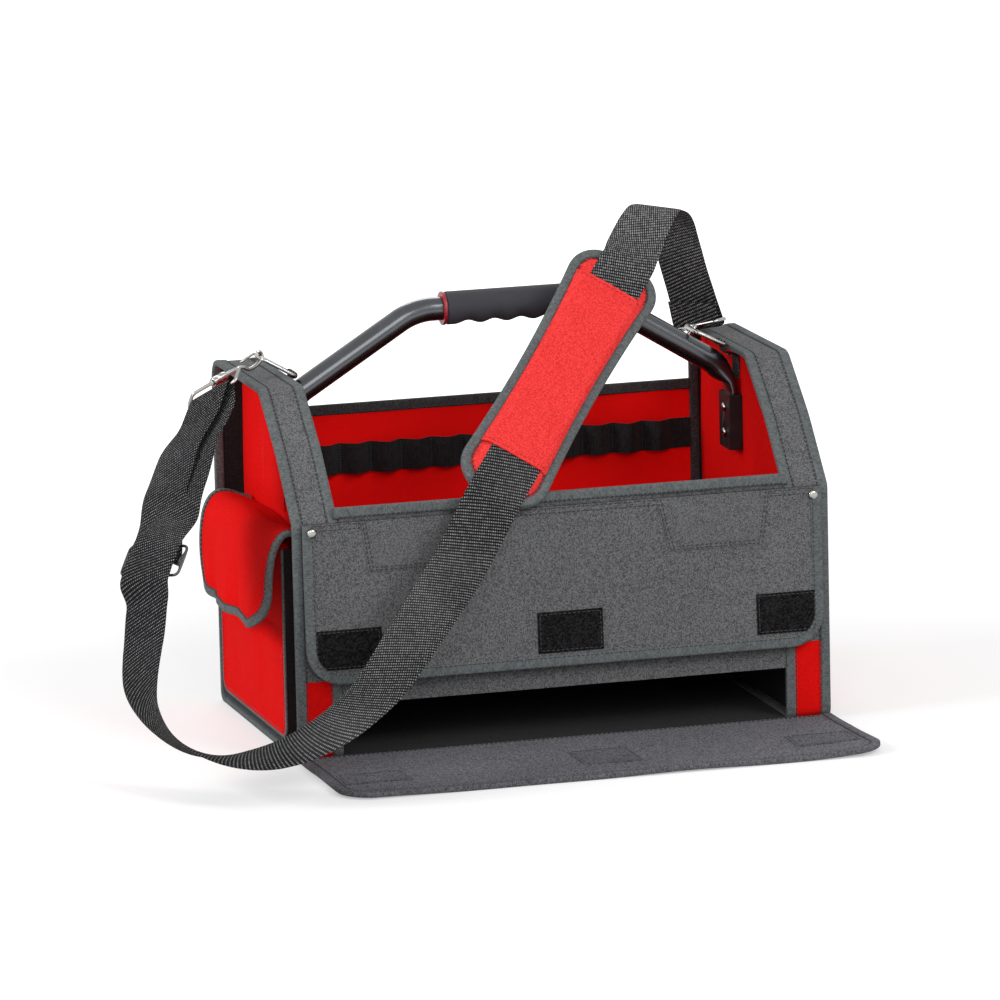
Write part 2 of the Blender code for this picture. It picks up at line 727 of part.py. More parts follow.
def bend(before, corner, after, radius):
    """Arc that rounds the corner of a bent tube."""
    before, corner, after = Vector(before), Vector(corner), Vector(after)
    back, on = (before - corner).normalized(), (after - corner).normalized()
    half_angle = back.angle(on) / 2
    centre = corner + (back + on).normalized() * radius / math.sin(half_angle)
    start = corner + back * radius / math.tan(half_angle) - centre
    end = corner + on * radius / math.tan(half_angle) - centre
    return arc(centre, start, end, BEND_STEPS)


def tube_section(place, along, half_thickness, half_width):
    """Section of the tube across its way, from a circle to a pressed flat."""
    normal = Vector((-along.z, 0, along.x))
    rounding = half_thickness / half_width
    points = []
    for index in range(TUBE_SIDES):
        angle = math.tau * index / TUBE_SIDES
        x, y = math.cos(angle), math.sin(angle)
        squarer = abs(x) ** rounding if rounding < 1 else abs(x)
        out = normal * math.copysign(squarer, x) * half_thickness
        points.append(place + out + Vector((0, y * half_width, 0)))
    return points


def flat_x():
    """Middle of the pressed flat, which keeps the tube's outer side."""
    return LOWER_BEND_X + TUBE_RADIUS - FLAT_HALF_THICKNESS


def make_handle_tube():
    half = [Vector((point.x, HANDLE_Y, point.y)) for point in handle_path()]
    places = []
    for place, share in zip(half, (0,) * (len(half) - len(BEND_PRESS_SHARES)) + BEND_PRESS_SHARES):
        places.append((place + Vector(((flat_x() - LOWER_BEND_X) * share, 0, 0)), share))
    for z in (FLAT_TOP_Z, LEG_BOTTOM_Z):
        places.append((Vector((flat_x(), HANDLE_Y, z)), 1))
    mirrored = [(Vector((-place.x, place.y, place.z)), share) for place, share in reversed(places)]
    whole = mirrored + places
    loops = []
    for index, (place, share) in enumerate(whole):
        after = whole[min(index + 1, len(whole) - 1)][0]
        before = whole[max(index - 1, 0)][0]
        thickness = TUBE_RADIUS + (FLAT_HALF_THICKNESS - TUBE_RADIUS) * share
        width = TUBE_RADIUS + (FLAT_HALF_WIDTH - TUBE_RADIUS) * share
        along = (after - before).normalized()
        if share == 1:
            along = Vector((0, 0, math.copysign(1, along.z)))
        loops.append(tube_section(place, along, thickness, width))
    return loft("handle_tube", loops, GUNMETAL, metallic=1.0, roughness=0.35)


def make_grip():
    """Foam sleeve with finger waves under it, and the ring at its left end."""
    centre = Vector((0, HANDLE_Y, GRIP_Z))
    across, up = Vector((0, 1, 0)), Vector((0, 0, 1))
    bore = TUBE_RADIUS + GAP
    outer = []
    for step in range(GRIP_STEPS + 1):
        share = step / GRIP_STEPS
        x = GRIP_HALF_LENGTH * (2 * share - 1)
        ease = min(1, share * GRIP_STEPS / 2, (1 - share) * GRIP_STEPS / 2)
        radius = GRIP_RADIUS - PANEL / 2 * (1 - ease)
        wave = GRIP_WAVE_DEPTH / 2 * (1 - math.cos(math.tau * GRIP_WAVES * share))
        loop = []
        for point in circle(Vector((x, 0, 0)), across, up, radius):
            lower = max(0, -point.z / radius)
            loop.append(centre + Vector((point.x, point.y, point.z + wave * lower**2)))
        outer.append(loop)
    ends = (GRIP_HALF_LENGTH, -GRIP_HALF_LENGTH)
    inner = [circle(centre + Vector((x, 0, 0)), across, up, bore) for x in ends]
    loft("handle_grip", outer + inner, DARK, closed=True)
    near = -GRIP_HALF_LENGTH - GAP
    far = near - GRIP_RING_WIDTH
    shape = ((GRIP_RING_RADIUS, near), (GRIP_RING_RADIUS, far), (bore, far), (bore, near))
    loops = [circle(centre + Vector((x, 0, 0)), across, up, radius) for radius, x in shape]
    loft("handle_grip_ring", loops, RED, closed=True)


def make_bracket(name, side, tube):
    """Slotted bracket that holds the flat end of the tube against the end wall, with its rivets."""
    outer = END_WALL_INNER_X - GAP
    low, high = HANDLE_Y - BRACKET_HALF_WIDTH, HANDLE_Y + BRACKET_HALF_WIDTH
    slot = FLAT_HALF_THICKNESS + GAP
    rise = BRACKET_WALL
    body = box(
        name + "_handle_bracket",
        sorted((side * BRACKET_INNER_X, side * outer)),
        (low, high),
        (BRACKET_BOTTOM_Z, BRACKET_TOP_Z),
        PLASTIC_BLACK,
    )
    cutter = box(
        "cutter",
        sorted((side * (flat_x() - slot), side * (flat_x() + slot))),
        (low + rise, high - rise),
        (BRACKET_BOTTOM_Z + rise, BRACKET_TOP_Z + CUT_OVERRUN),
        PLASTIC_BLACK,
    )
    combine(body, cutter, "DIFFERENCE")
    wall = bpy.data.objects[name + "_end_wall"]
    inner = BRACKET_INNER_X - GAP
    reach = END_WALL_INNER_X + END_WALL + GAP - inner
    hole = BOLT_SHANK_RADIUS + GAP
    for label, z in zip(("lower", "upper"), BOLT_ZS):
        centre = (side * inner, HANDLE_Y, z)
        axis = (side, 0, 0)
        for target in (body, wall, tube):
            drill = turned("cutter", centre, axis, ((hole, -CUT_OVERRUN), (hole, reach + CUT_OVERRUN)), STEEL)
            combine(target, drill, "DIFFERENCE")
        profile = (
            (BOLT_HEAD_RADIUS / 2, -BOLT_HEAD_HEIGHT),
            (BOLT_HEAD_RADIUS * HEAD_RIM_SHARE, -BOLT_HEAD_HEIGHT * HEAD_SIDE_SHARE),
            (BOLT_HEAD_RADIUS, 0),
            (BOLT_SHANK_RADIUS, 0),
            (BOLT_SHANK_RADIUS, reach),
            (BOLT_HEAD_RADIUS, reach),
            (BOLT_HEAD_RADIUS, reach + BOLT_HEAD_HEIGHT / 2),
        )
        turned(f"handle_rivet_{name}_{label}", centre, axis, profile, STEEL)


# Tool loops


def make_tool_loops():
    """Elastic band puckered into arches and sewn to the back wall between them."""
    face = BODY_DEPTH / 2 - TAPE - GAP - PANEL - GAP - LOOP_STRETCH / 2
    total = sum(LOOP_COUNTS.values())
    start = -total * LOOP_PITCH / 2
    for name, count in LOOP_COUNTS.items():
        end = start + count * LOOP_PITCH - GAP
        stations = []
        for step in range(count * LOOP_STEPS + 1):
            share = step / LOOP_STEPS
            x = start + (end - start) * share / count
            y = face - LOOP_BULGE * math.sin(math.pi * share) ** 2
            slope = -LOOP_BULGE * math.pi / LOOP_PITCH * math.sin(math.tau * share)
            stations.append(((x, y, LOOP_BOTTOM_Z), (0, 0, 1), (-slope, 1, 0), 0, LOOP_TOP_Z - LOOP_BOTTOM_Z))
        sheet(f"tool_loops_{name}", stations, LOOP_STRETCH, PLASTIC_BLACK)
        start += count * LOOP_PITCH


# Strap hardware


def link_path(start, end, across, half_width, corner, steps=4):
    """Closed rounded rectangle from one bar's middle to the other's."""
    along = end - start
    length = along.length
    corners = [(0, -half_width), (length, -half_width), (length, half_width), (0, half_width)]
    outline = rounded(corners, [corner] * len(corners), steps)
    along.normalize()
    return [start + along * point.x + across * point.y for point in outline]


def make_ring(name, side, far):
    """Webbing tab sewn inside the end wall, and the ring that it holds."""
    across = Vector((0, 1, 0))
    foot = Vector((side * RING_FOOT_X, HANDLE_Y, RING_FOOT_Z))
    path = link_path(foot, far, across, RING_HALF_WIDTH, RING_CORNER)
    normal = (far - foot).cross(across).normalized()
    wire(name + "_ring", path, normal, WIRE_RADIUS, STEEL, closed=True)
    wall_x = END_WALL_INNER_X - GAP - TAB_THICKNESS / 2
    wrap = WIRE_RADIUS + GAP + TAB_THICKNESS / 2
    way = [(wall_x, TAB_FOOT_Z)]
    for in_share, down_share in TAB_SHARES:
        way.append((wall_x - wrap * in_share, RING_FOOT_Z - wrap * down_share))
    for step in range(ROUND_SIDES + 1):
        angle = -math.pi * TAB_START_SHARE - (math.tau - math.pi * TAB_OPEN_SHARE) * step / ROUND_SIDES
        way.append((RING_FOOT_X + wrap * math.cos(angle), RING_FOOT_Z + wrap * math.sin(angle)))
    stations = []
    for index, (x, z) in enumerate(way):
        before, after = way[max(index - 1, 0)], way[min(index + 1, len(way) - 1)]
        normal = (side * (before[1] - after[1]), 0, after[0] - before[0])
        stations.append(((side * x, HANDLE_Y, z), across, normal, -TAB_WIDTH / 2, TAB_WIDTH / 2))
    sheet(name + "_ring_tab", stations, TAB_THICKNESS, PLASTIC_BLACK)


def make_hook(name, ring_place, ring_way, swivel):
    """Snap hook round the ring's wire with its swivel pin, and its gate on a pivot."""
    along = (ring_place - swivel).normalized()
    side = ring_way.cross(along).normalized()
    normal = along.cross(side).normalized()
    length = (ring_place - swivel).length

    def at(forward, across):
        return ring_place + along * forward + side * across

    barrel_far = BOSS_HALF_LENGTH + GAP + BARREL_LENGTH - length
    tip_forward = HOOK_CURL * math.cos(math.pi * GATE_TIP_SHARE) - HOOK_RADIUS - GATE_TIP_GAP
    root_forward = tip_forward - GATE_LENGTH
    path = [at(barrel_far - BARREL_RADIUS / 2, 0), at(root_forward, 0)]
    path.append(at(root_forward + HOOK_THROAT / 2, -HOOK_THROAT / 2))
    path.append(at(root_forward + HOOK_THROAT, -HOOK_THROAT))
    path.append(at(-HOOK_THROAT, -HOOK_THROAT))
    for step in range(BEND_STEPS + 1):
        angle = -math.pi / 2 + math.pi * HOOK_TURN_SHARE * step / BEND_STEPS
        path.append(at(HOOK_CURL * math.cos(angle), HOOK_CURL * math.sin(angle)))
    hook = wire(name + "_hook", path, normal, HOOK_RADIUS, STEEL)
    near = BOSS_HALF_LENGTH + GAP
    cap = BOSS_HALF_LENGTH + GAP
    profile = (
        (PIN_RADIUS * 2, -cap - PIN_RADIUS),
        (PIN_RADIUS * 2, -cap),
        (PIN_RADIUS, -cap),
        (PIN_RADIUS, near),
        *((BARREL_RADIUS * wide, near + BARREL_LENGTH * along) for wide, along in BARREL_SHARES),
    )
    combine(hook, turned("cutter", swivel, along, profile, STEEL), "UNION")
    tip = at(tip_forward, HOOK_CURL)
    root = at(root_forward, HOOK_RADIUS + GATE_RADIUS + GAP)
    wire(name + "_gate", [root, (root + tip) / 2, tip], normal, GATE_RADIUS, STEEL)
    turn_about(root, name + "_gate")


def make_eye(name, swivel, bar, across, hook_way):
    """Rectangular webbing loop, with a boss for the hook's swivel pin in its near bar."""
    path = link_path(swivel, bar, across, EYE_HALF_WIDTH, EYE_CORNER)
    normal = (bar - swivel).cross(across).normalized()
    eye = wire(name + "_webbing_loop", path, normal, WIRE_RADIUS, STEEL, closed=True)
    shape = ((BOSS_RADIUS, -BOSS_HALF_LENGTH), (BOSS_RADIUS, BOSS_HALF_LENGTH))
    combine(eye, turned("cutter", swivel, hook_way, shape, STEEL), "UNION")
    hole = PIN_RADIUS + PIN_CLEARANCE
    drill = ((hole, -BOSS_HALF_LENGTH - CUT_OVERRUN), (hole, BOSS_HALF_LENGTH + CUT_OVERRUN))
    combine(eye, turned("cutter", swivel, hook_way, drill, STEEL), "DIFFERENCE")


def make_chain(name, side, ring_shares, swivel_shares, bar_shares, direction, rail):
    """Ring, hook, gate and webbing loop of one side."""
    far, swivel, bar = at_shares(ring_shares), at_shares(swivel_shares), at_shares(bar_shares)
    way = (bar - swivel).normalized()
    across = Vector(direction)
    across = (across - way * across.dot(way)).normalized()
    bar = swivel + way * EYE_LENGTH
    make_ring(name, side, far)
    foot = Vector((side * RING_FOOT_X, HANDLE_Y, RING_FOOT_Z))
    if rail:
        grip = far + Vector((0, RING_HALF_WIDTH, 0)) + (foot - far).normalized() * (RING_CORNER + WIRE_RADIUS)
        make_hook(name, grip, (far - foot).normalized(), swivel)
        make_eye(name, swivel, bar, across, (grip - swivel).normalized())
    else:
        make_hook(name, far, Vector((0, side, 0)), swivel)
        make_eye(name, swivel, bar, across, (far - swivel).normalized())
    return bar, across


# Shoulder strap


def framed(row):
    """Place and width direction of one row of a share table, as one vector of six."""
    place = at_shares(row[:3])
    return Vector((*place, *row[3:]))


def around_bar(bar, across, before, far, radius):
    """Places round a bar that is reached from the place before it, along the bar's far side."""
    arrive = bar - before
    arrive = (arrive - across * arrive.dot(across)).normalized()
    out = across.cross(arrive).normalized()
    if out.dot(far) < 0:
        out = -out
    places = []
    for step in range(WRAP_STEPS + 1):
        angle = math.pi * (1 / 2 - step / WRAP_STEPS)
        place = bar + (arrive * math.cos(angle) + out * math.sin(angle)) * radius
        places.append(Vector((*place, *across)))
    return places


def slider_frame():
    """The slider's middle, the strap's direction there, its width direction and its outer side."""
    row = framed(SLIDER_SHARES)
    middle = Vector(row[:3])
    along = (framed(STRAP_LIMB_SHARES[0]) - framed(STRAP_FRONT_SHARES[-1]))[:3]
    along = Vector(along).normalized()
    across = Vector(row[3:])
    across = (across - along * across.dot(along)).normalized()
    return middle, along, across, across.cross(along)


def tail_round_slider():
    """The strap's sewn end, folded round the slider's middle bar towards the back layer."""
    middle, along, across, outer = slider_frame()
    radius = SLIDER_BAR_RADIUS + GAP + STRAP_THICKNESS / 2
    places = [middle + outer * radius - along * radius]
    for step in range(WRAP_STEPS + 1):
        angle = math.pi * step / WRAP_STEPS
        places.append(middle + (outer * math.cos(angle) + along * math.sin(angle)) * radius)
    return [Vector((*place, *across)) for place in places]


def through_slider():
    """The front layer's way under the slider's end bars and over its middle bar."""
    middle, along, across, outer = slider_frame()
    half = SLIDER_HALF_LENGTH
    top = SLIDER_BAR_RADIUS * 2
    way = (
        (-half - SLIDER_LEAD, 0),
        (-half, -SLIDER_UNDER),
        (-top, SLIDER_OVER),
        (top, SLIDER_OVER),
        (half, -SLIDER_UNDER),
        (half + SLIDER_LEAD, 0),
    )
    return [Vector((*(middle + along * on + outer * out), *across)) for on, out in way]


def make_slider():
    """Three-bar slider that sets the strap's length."""
    middle, along, across, outer = slider_frame()
    reach = along * SLIDER_HALF_LENGTH
    path = link_path(middle - reach, middle + reach, across, SLIDER_HALF_WIDTH, SLIDER_CORNER)
    slider = wire("strap_slider", path, outer, SLIDER_BAR_RADIUS, STEEL, closed=True)
    bar = ((SLIDER_BAR_RADIUS, -SLIDER_HALF_WIDTH), (SLIDER_BAR_RADIUS, SLIDER_HALF_WIDTH))
    combine(slider, turned("cutter", middle, across, bar, STEEL), "UNION")


def strap_way():
    """The strap's stations from its sewn end at the slider to its sewn end at the right."""
    wrap = WIRE_RADIUS + GAP * 3 + STRAP_THICKNESS / 2
    back = [framed(row) for row in STRAP_BACK_SHARES]
    front = [framed(row) for row in STRAP_FRONT_SHARES]
    limb = [framed(row) for row in STRAP_LIMB_SHARES]
    foot, head = framed(STRAP_PAD_FOOT_SHARES), framed(STRAP_PAD_HEAD_SHARES)
    across = pad_frame()[2]
    straight = [Vector((*foot.lerp(head, share)[:3], *across)) for share in STRAIGHT_SHARES]
    arch = [framed(row) for row in STRAP_ARCH_SHARES]
    left_bar, left_across = CHAIN_ENDS["left"]
    right_bar, right_across = CHAIN_ENDS["right"]
    apart = Vector((back[-1] - front[0])[:3])
    first = around_bar(left_bar, left_across, Vector(back[-1][:3]), apart, wrap)
    last = around_bar(right_bar, right_across, Vector(arch[-1][:3]), Vector((0, 1, 0)), wrap)
    back_up = Vector(arch[-1][:3]) - right_bar
    inward = (right_bar - Vector(last[-1][:3])).normalized()
    place = Vector(last[-1][:3]) + back_up.normalized() * TAIL_LENGTH + inward * GAP
    last.append(Vector((*place, *right_across)))
    return back, first, front, limb, straight, arch, last


def sections(way):
    """Stations for a sheet: width direction squared to the way, and its normal."""
    stations = []
    for index, place in enumerate(way):
        before, after = way[max(index - 1, 0)], way[min(index + 1, len(way) - 1)]
        along = (Vector(after[:3]) - Vector(before[:3])).normalized()
        across = Vector(place[3:])
        across = (across - along * across.dot(along)).normalized()
        half = STRAP_WIDTH / 2
        stations.append((Vector(place[:3]), across, along.cross(across), -half, half))
    return stations


CHAIN_ENDS = {}


def make_strap():
    back, first, front, limb, straight, arch, last = strap_way()
    whole = tail_round_slider() + spline(back, SPLINE_STEPS) + first
    whole += spline(front, SPLINE_STEPS) + through_slider()
    whole += spline(limb + straight[:1], SPLINE_STEPS) + straight[1:-1]
    whole += spline(straight[-1:] + arch, SPLINE_STEPS) + last
    sheet("shoulder_strap", sections(whole), STRAP_THICKNESS, DARK)


def pad_frame():
    foot, head = framed(STRAP_PAD_FOOT_SHARES), framed(STRAP_PAD_HEAD_SHARES)
    start, end = Vector(foot[:3]), Vector(head[:3])
    along = (end - start).normalized()
    across = (Vector(foot[3:]) + Vector(head[3:])).normalized()
    across = (across - along * across.dot(along)).normalized()
    return (start + end) / 2, along, across, along.cross(across)


def make_pad():
    """Crowned pad under the strap and the cover sleeve that the strap runs through."""
    middle, along, across, normal = pad_frame()
    if normal.y > 0:
        normal = -normal
    half_length, half_width = PAD_LENGTH / 2, PAD_WIDTH / 2
    turns = ((-1, -1), (1, -1), (1, 1), (-1, 1))
    outline = rounded(
        [(half_length * x, half_width * y) for x, y in turns],
        [PAD_RADIUS] * 4,
    )
    top = -(STRAP_THICKNESS / 2 + GAP)

    def layer(scale, out):
        return [middle + along * (p.x * scale) + across * (p.y * scale) + normal * out for p in outline]

    layers = [layer(scale, top - PAD_THICKNESS * deep) for scale, deep in PAD_EDGE_SHARES]
    layers.append(layer(PAD_CROWN_SHARE, top - PAD_THICKNESS - PAD_CROWN))
    loft("shoulder_pad", layers, GREY)
    inner, outer = STRAP_WIDTH / 2 + GAP * 2, half_width - TAPE_WIDTH / 2
    low, high = STRAP_THICKNESS / 2 + GAP, STRAP_THICKNESS / 2 + GAP + COVER_THICKNESS
    base = top + GAP
    section = (
        (-outer, base),
        (-inner, base),
        (-inner, low),
        (inner, low),
        (inner, base),
        (outer, base),
        (outer - COVER_THICKNESS, high),
        (inner / 2, high + PAD_CROWN),
        (-inner / 2, high + PAD_CROWN),
        (-outer + COVER_THICKNESS, high),
    )
    loops = [
        [middle + along * end + across * wide + normal * out for wide, out in section]
        for end in (-COVER_FOOT, COVER_HEAD)
    ]
    loft("shoulder_pad_cover", loops, RED)
    turn_about(middle, "shoulder_pad", "shoulder_pad_cover")


def main():
    clear_scene()
    make_base()
    make_floor()
    make_wall("front_wall", -1, FRONT_WALL_BOTTOM_Z, FRONT_WALL_TOP_Z)
    make_wall("back_wall", 1, BASE_THICKNESS + GAP, BACK_WALL_TOP_Z)
    for name, side in (("left", -1), ("right", 1)):
        make_end(name, side)
    apron, tape = make_apron()
    make_lower_flap()
    tube = make_handle_tube()
    make_grip()
    for name, side in (("left", -1), ("right", 1)):
        make_apron_rivet(name, side, apron, tape)
        make_pocket(name, side)
        make_pocket_flap(name, side)
        make_bracket(name, side, tube)
    make_tool_loops()
    CHAIN_ENDS["left"] = make_chain(
        "left", -1, LEFT_RING_SHARES, LEFT_SWIVEL_SHARES, LEFT_BAR_SHARES, LEFT_BAR_DIRECTION_SHARES, False
    )
    CHAIN_ENDS["right"] = make_chain(
        "right", 1, RIGHT_RING_SHARES, RIGHT_SWIVEL_SHARES, RIGHT_BAR_SHARES, RIGHT_BAR_DIRECTION_SHARES, True
    )
    make_strap()
    make_slider()
    make_pad()


main()
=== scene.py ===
"""Open-top fabric tool tote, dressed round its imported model.

Lengths are in metres in the model's own frame: X along the body, Y from the front apron to
the back wall, Z up.
"""

import math

import bmesh
import bpy
import numpy as np
from bpy.props import FloatProperty, FloatVectorProperty, IntProperty, PointerProperty
from bpy.types import Operator, Panel, PropertyGroup
from mathutils import Matrix


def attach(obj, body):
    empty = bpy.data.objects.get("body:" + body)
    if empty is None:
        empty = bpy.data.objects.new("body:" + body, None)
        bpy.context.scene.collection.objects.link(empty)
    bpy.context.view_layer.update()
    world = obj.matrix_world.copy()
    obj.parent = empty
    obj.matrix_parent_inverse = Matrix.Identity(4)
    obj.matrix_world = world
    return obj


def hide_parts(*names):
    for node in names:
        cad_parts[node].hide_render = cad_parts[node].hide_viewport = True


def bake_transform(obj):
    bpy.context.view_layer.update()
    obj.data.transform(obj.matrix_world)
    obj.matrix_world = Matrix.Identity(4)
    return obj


bl_info = {
    "name": "Tool Tote Dresser",
    "version": (1, 0, 0),
    "blender": (4, 5, 0),
    "location": "3D View > Sidebar > Tool Tote",
    "description": "Builds the cloth, webbing, tube and fittings of an open-top tool tote",
    "category": "Object",
}

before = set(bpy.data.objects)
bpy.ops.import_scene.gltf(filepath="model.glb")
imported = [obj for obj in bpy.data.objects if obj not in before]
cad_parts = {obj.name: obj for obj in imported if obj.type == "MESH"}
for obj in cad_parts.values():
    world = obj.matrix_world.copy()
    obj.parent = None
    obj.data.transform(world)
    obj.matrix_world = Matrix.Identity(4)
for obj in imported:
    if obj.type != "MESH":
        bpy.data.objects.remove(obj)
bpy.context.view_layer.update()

# Measures of the model that several pieces share
GABLE_CORNERS = (
    (-0.1430, 0.0), (-0.1430, 0.2165), (-0.09215, 0.27293), (-0.0330, 0.3220), (0.1430, 0.3220),
    (0.1430, 0.0),
)
GABLE_RADII = (0.010, 0.010, 0.120, 0.022, 0.020, 0.010)
BAND_MIDDLE = 0.229
BAND_TAPE_WIDTH = 0.0088
WALL_HALF, WALL_Y = 0.2077, 0.1403
HANDLE_Y, GRIP_Z = 0.026, 0.3725
SIDES = (("left", -1), ("right", 1))


# Colours and sizes that a user would change


def tint(label, about, value):
    """A colour setting, in linear light."""
    return FloatVectorProperty(
        name=label, description=about, subtype="COLOR", size=3, min=0, max=1, default=value
    )


def length(label, about, value):
    """A length setting in metres."""
    return FloatProperty(name=label, description=about, default=value, min=0, unit="LENGTH", precision=5)


class ToteColours(PropertyGroup):
    """Cloth, webbing and metal colours of the tote."""

    grey_light: tint("Grey yarn, light", "Light threads of the grey cloth", (0.170, 0.171, 0.175))
    grey_dark: tint("Grey yarn, dark", "Dark threads of the grey cloth", (0.058, 0.058, 0.061))
    lining_light: tint("Lining yarn, light", "Light threads of the drop flap's lining", (0.200, 0.196, 0.212))
    lining_dark: tint("Lining yarn, dark", "Dark threads of the drop flap's lining", (0.046, 0.045, 0.054))
    red_light: tint("Red yarn, light", "Light threads of the red cloth", (0.86, 0.007, 0.006))
    red_dark: tint("Red yarn, dark", "Dark threads of the red cloth", (0.60, 0.003, 0.003))
    sleeve_light: tint("Sleeve yarn, light", "Light threads of the pad's red cloth", (0.95, 0.068, 0.064))
    sleeve_dark: tint("Sleeve yarn, dark", "Dark threads of the pad's red cloth", (0.60, 0.020, 0.020))
    tape_light: tint("Binding, light", "Ribs of the edge binding", (0.152, 0.164, 0.167))
    tape_dark: tint("Binding, dark", "Grooves of the edge binding", (0.060, 0.068, 0.071))
    black_light: tint("Black cloth, light", "Light threads of black cloth and elastic", (0.025, 0.024, 0.026))
    black_dark: tint("Black cloth, dark", "Dark threads of black cloth and elastic", (0.006, 0.006, 0.006))
    strap_light: tint("Webbing, light", "Ribs of the shoulder strap", (0.290, 0.290, 0.292))
    strap_dark: tint("Webbing, dark", "Grooves of the shoulder strap", (0.0075, 0.0075, 0.0085))
    thread: tint("Thread", "Dark sewing thread", (0.022, 0.022, 0.025))
    thread_red: tint("Red thread", "Sewing thread on red cloth", (0.40, 0.010, 0.010))
    foam: tint("Grip foam", "Sleeve of the handle", (0.026, 0.026, 0.032))
    tube: tint("Tube", "Lacquered metal of the handle", (0.056, 0.060, 0.066))
    steel: tint("Steel", "Plated rings, hooks and rivets", (0.37, 0.365, 0.35))
    plastic: tint("Plastic", "Brackets that hold the tube", (0.006, 0.006, 0.007))
    ring: tint("Grip ring", "Moulded ring at the grip's end", (0.26, 0.006, 0.014))


class ToteSizes(PropertyGroup):
    """Weave and sewing sizes of the tote."""

    thread_pitch: length("Thread pitch", "Distance between neighbouring threads of the cloth", 0.0010)
    stitch_pitch: length("Stitch pitch", "Distance from one stitch to the next", 0.0044)
    stitch_length: length("Stitch length", "Visible length of one stitch", 0.0033)
    stitch_radius: length("Stitch radius", "Radius of the sewing thread", 0.00060)
    rib_pitch: length("Rib pitch", "Distance between the diagonal ribs of the webbing", 0.0034)
    pad_rise: length("Pad rise", "Most that the shoulder pad may swell", 0.0030)
    pad_frames: IntProperty(
        name="Pad frames", description="Steps of the pad's cloth", default=20, min=2, max=60
    )


class ToteStage(PropertyGroup):
    """Light of the studio round the tote."""

    key: FloatProperty(
        name="Key light", description="Strength of the main lamp", default=100, min=0, unit="POWER"
    )
    fill: FloatProperty(
        name="Fill light", description="Strength of the soft lamps", default=96, min=0, unit="POWER"
    )
    ambient: FloatProperty(
        name="Ambient", description="Strength of the white surroundings", default=0.42, min=0
    )


def colours():
    return bpy.context.scene.tote_colours


def sizes():
    return bpy.context.scene.tote_sizes


# Shapes as arrays


def unit(rows):
    """Each row divided by its own length."""
    return rows / np.maximum(np.linalg.norm(rows, axis=-1, keepdims=True), 1e-12)


def slopes(path, closed=False):
    """Unit direction of a path at each of its points: the next point less the one before."""
    if closed:
        return unit(np.roll(path, -1, axis=0) - np.roll(path, 1, axis=0))
    return unit(np.gradient(path, axis=0))


def lengths(path):
    """Distance along a path from its start to each of its points."""
    steps = np.linalg.norm(np.diff(path, axis=0), axis=1)
    return np.concatenate([[0.0], np.cumsum(steps)])


def resample(path, count, closed=False):
    """The same path with its points evenly spaced along its length."""
    path = np.asarray(path, float)
    if closed:
        path = np.vstack([path, path[:1]])
    along = lengths(path)
    wanted = np.linspace(0, along[-1], count, endpoint=not closed)
    return np.stack([np.interp(wanted, along, path[:, axis]) for axis in range(path.shape[1])], axis=1)


def smooth_way(stations, steps):
    """Catmull-Rom curve: each stretch is a cubic through its two stations, sloping as their neighbours do."""
    stations = np.asarray(stations, float)
    ends = np.vstack([2 * stations[0] - stations[1], stations, 2 * stations[-1] - stations[-2]])
    share = (np.arange(steps) / steps)[None, :, None]
    a, b, c, d = (ends[index : len(ends) - 3 + index, None, :] for index in range(4))
    way = 0.5 * (
        2 * b + (c - a) * share + (2 * a - 5 * b + 4 * c - d) * share**2 + (3 * b - a - 3 * c + d) * share**3
    )
    return np.vstack([way.reshape(-1, stations.shape[1]), stations[-1:]])


def arc(corners, index, radius, steps):
    """Arc that rounds one corner, its centre on the bisector, radius / sin(half angle) from the corner."""
    corner = corners[index]
    back = unit(corners[index - 1] - corner)
    on = unit(corners[(index + 1) % len(corners)] - corner)
    half = np.arccos(np.clip(back @ on, -1, 1)) / 2
    centre = corner + unit(back + on) * radius / np.sin(half)
    start = corner + back * radius / np.tan(half) - centre
    end = corner + on * radius / np.tan(half) - centre
    turn = np.pi - 2 * half
    share = np.linspace(0, 1, steps)[:, None]
    return centre + (np.sin((1 - share) * turn) * start + np.sin(share * turn) * end) / np.sin(turn)


def rounded(corners, radii, steps=10):
    """Outline of a polygon whose corners are arcs."""
    corners = np.asarray(corners, float)
    return np.vstack([arc(corners, index, radius, steps) for index, radius in enumerate(radii)])


def gable_way(inset, count=420):
    """Outline of the gable in Y and Z, moved in by the inset, with the direction that faces out."""
    way = resample(rounded(GABLE_CORNERS, GABLE_RADII), count, closed=True)
    along = slopes(way, closed=True)
    out = np.stack([along[:, 1], -along[:, 0]], axis=1)
    if np.mean(np.sum(out * (way - way.mean(axis=0)), axis=1)) < 0:
        out = -out
    return way - out * inset, out


def pill(width, depth, points=24, square=0.42):
    """Section of a folded tape: a circle's cosine and sine drawn out to a soft-cornered rectangle."""
    angle = np.linspace(0, 2 * np.pi, points, endpoint=False)
    x, y = np.cos(angle), np.sin(angle)
    return np.stack(
        [np.sign(x) * np.abs(x) ** square * width / 2, np.sign(y) * np.abs(y) ** square * depth / 2], axis=1
    )


def ripple(a, b, height, waves):
    """Slack of cloth: a sum of crossed sine waves of (pitch along a, pitch along b, phase)."""
    total = np.zeros(np.broadcast(a, b).shape)
    for pitch_a, pitch_b, phase in waves:
        total = total + np.sin(2 * np.pi * (a / pitch_a + b / pitch_b) + phase)
    return height * total / len(waves)


# Pieces from arrays


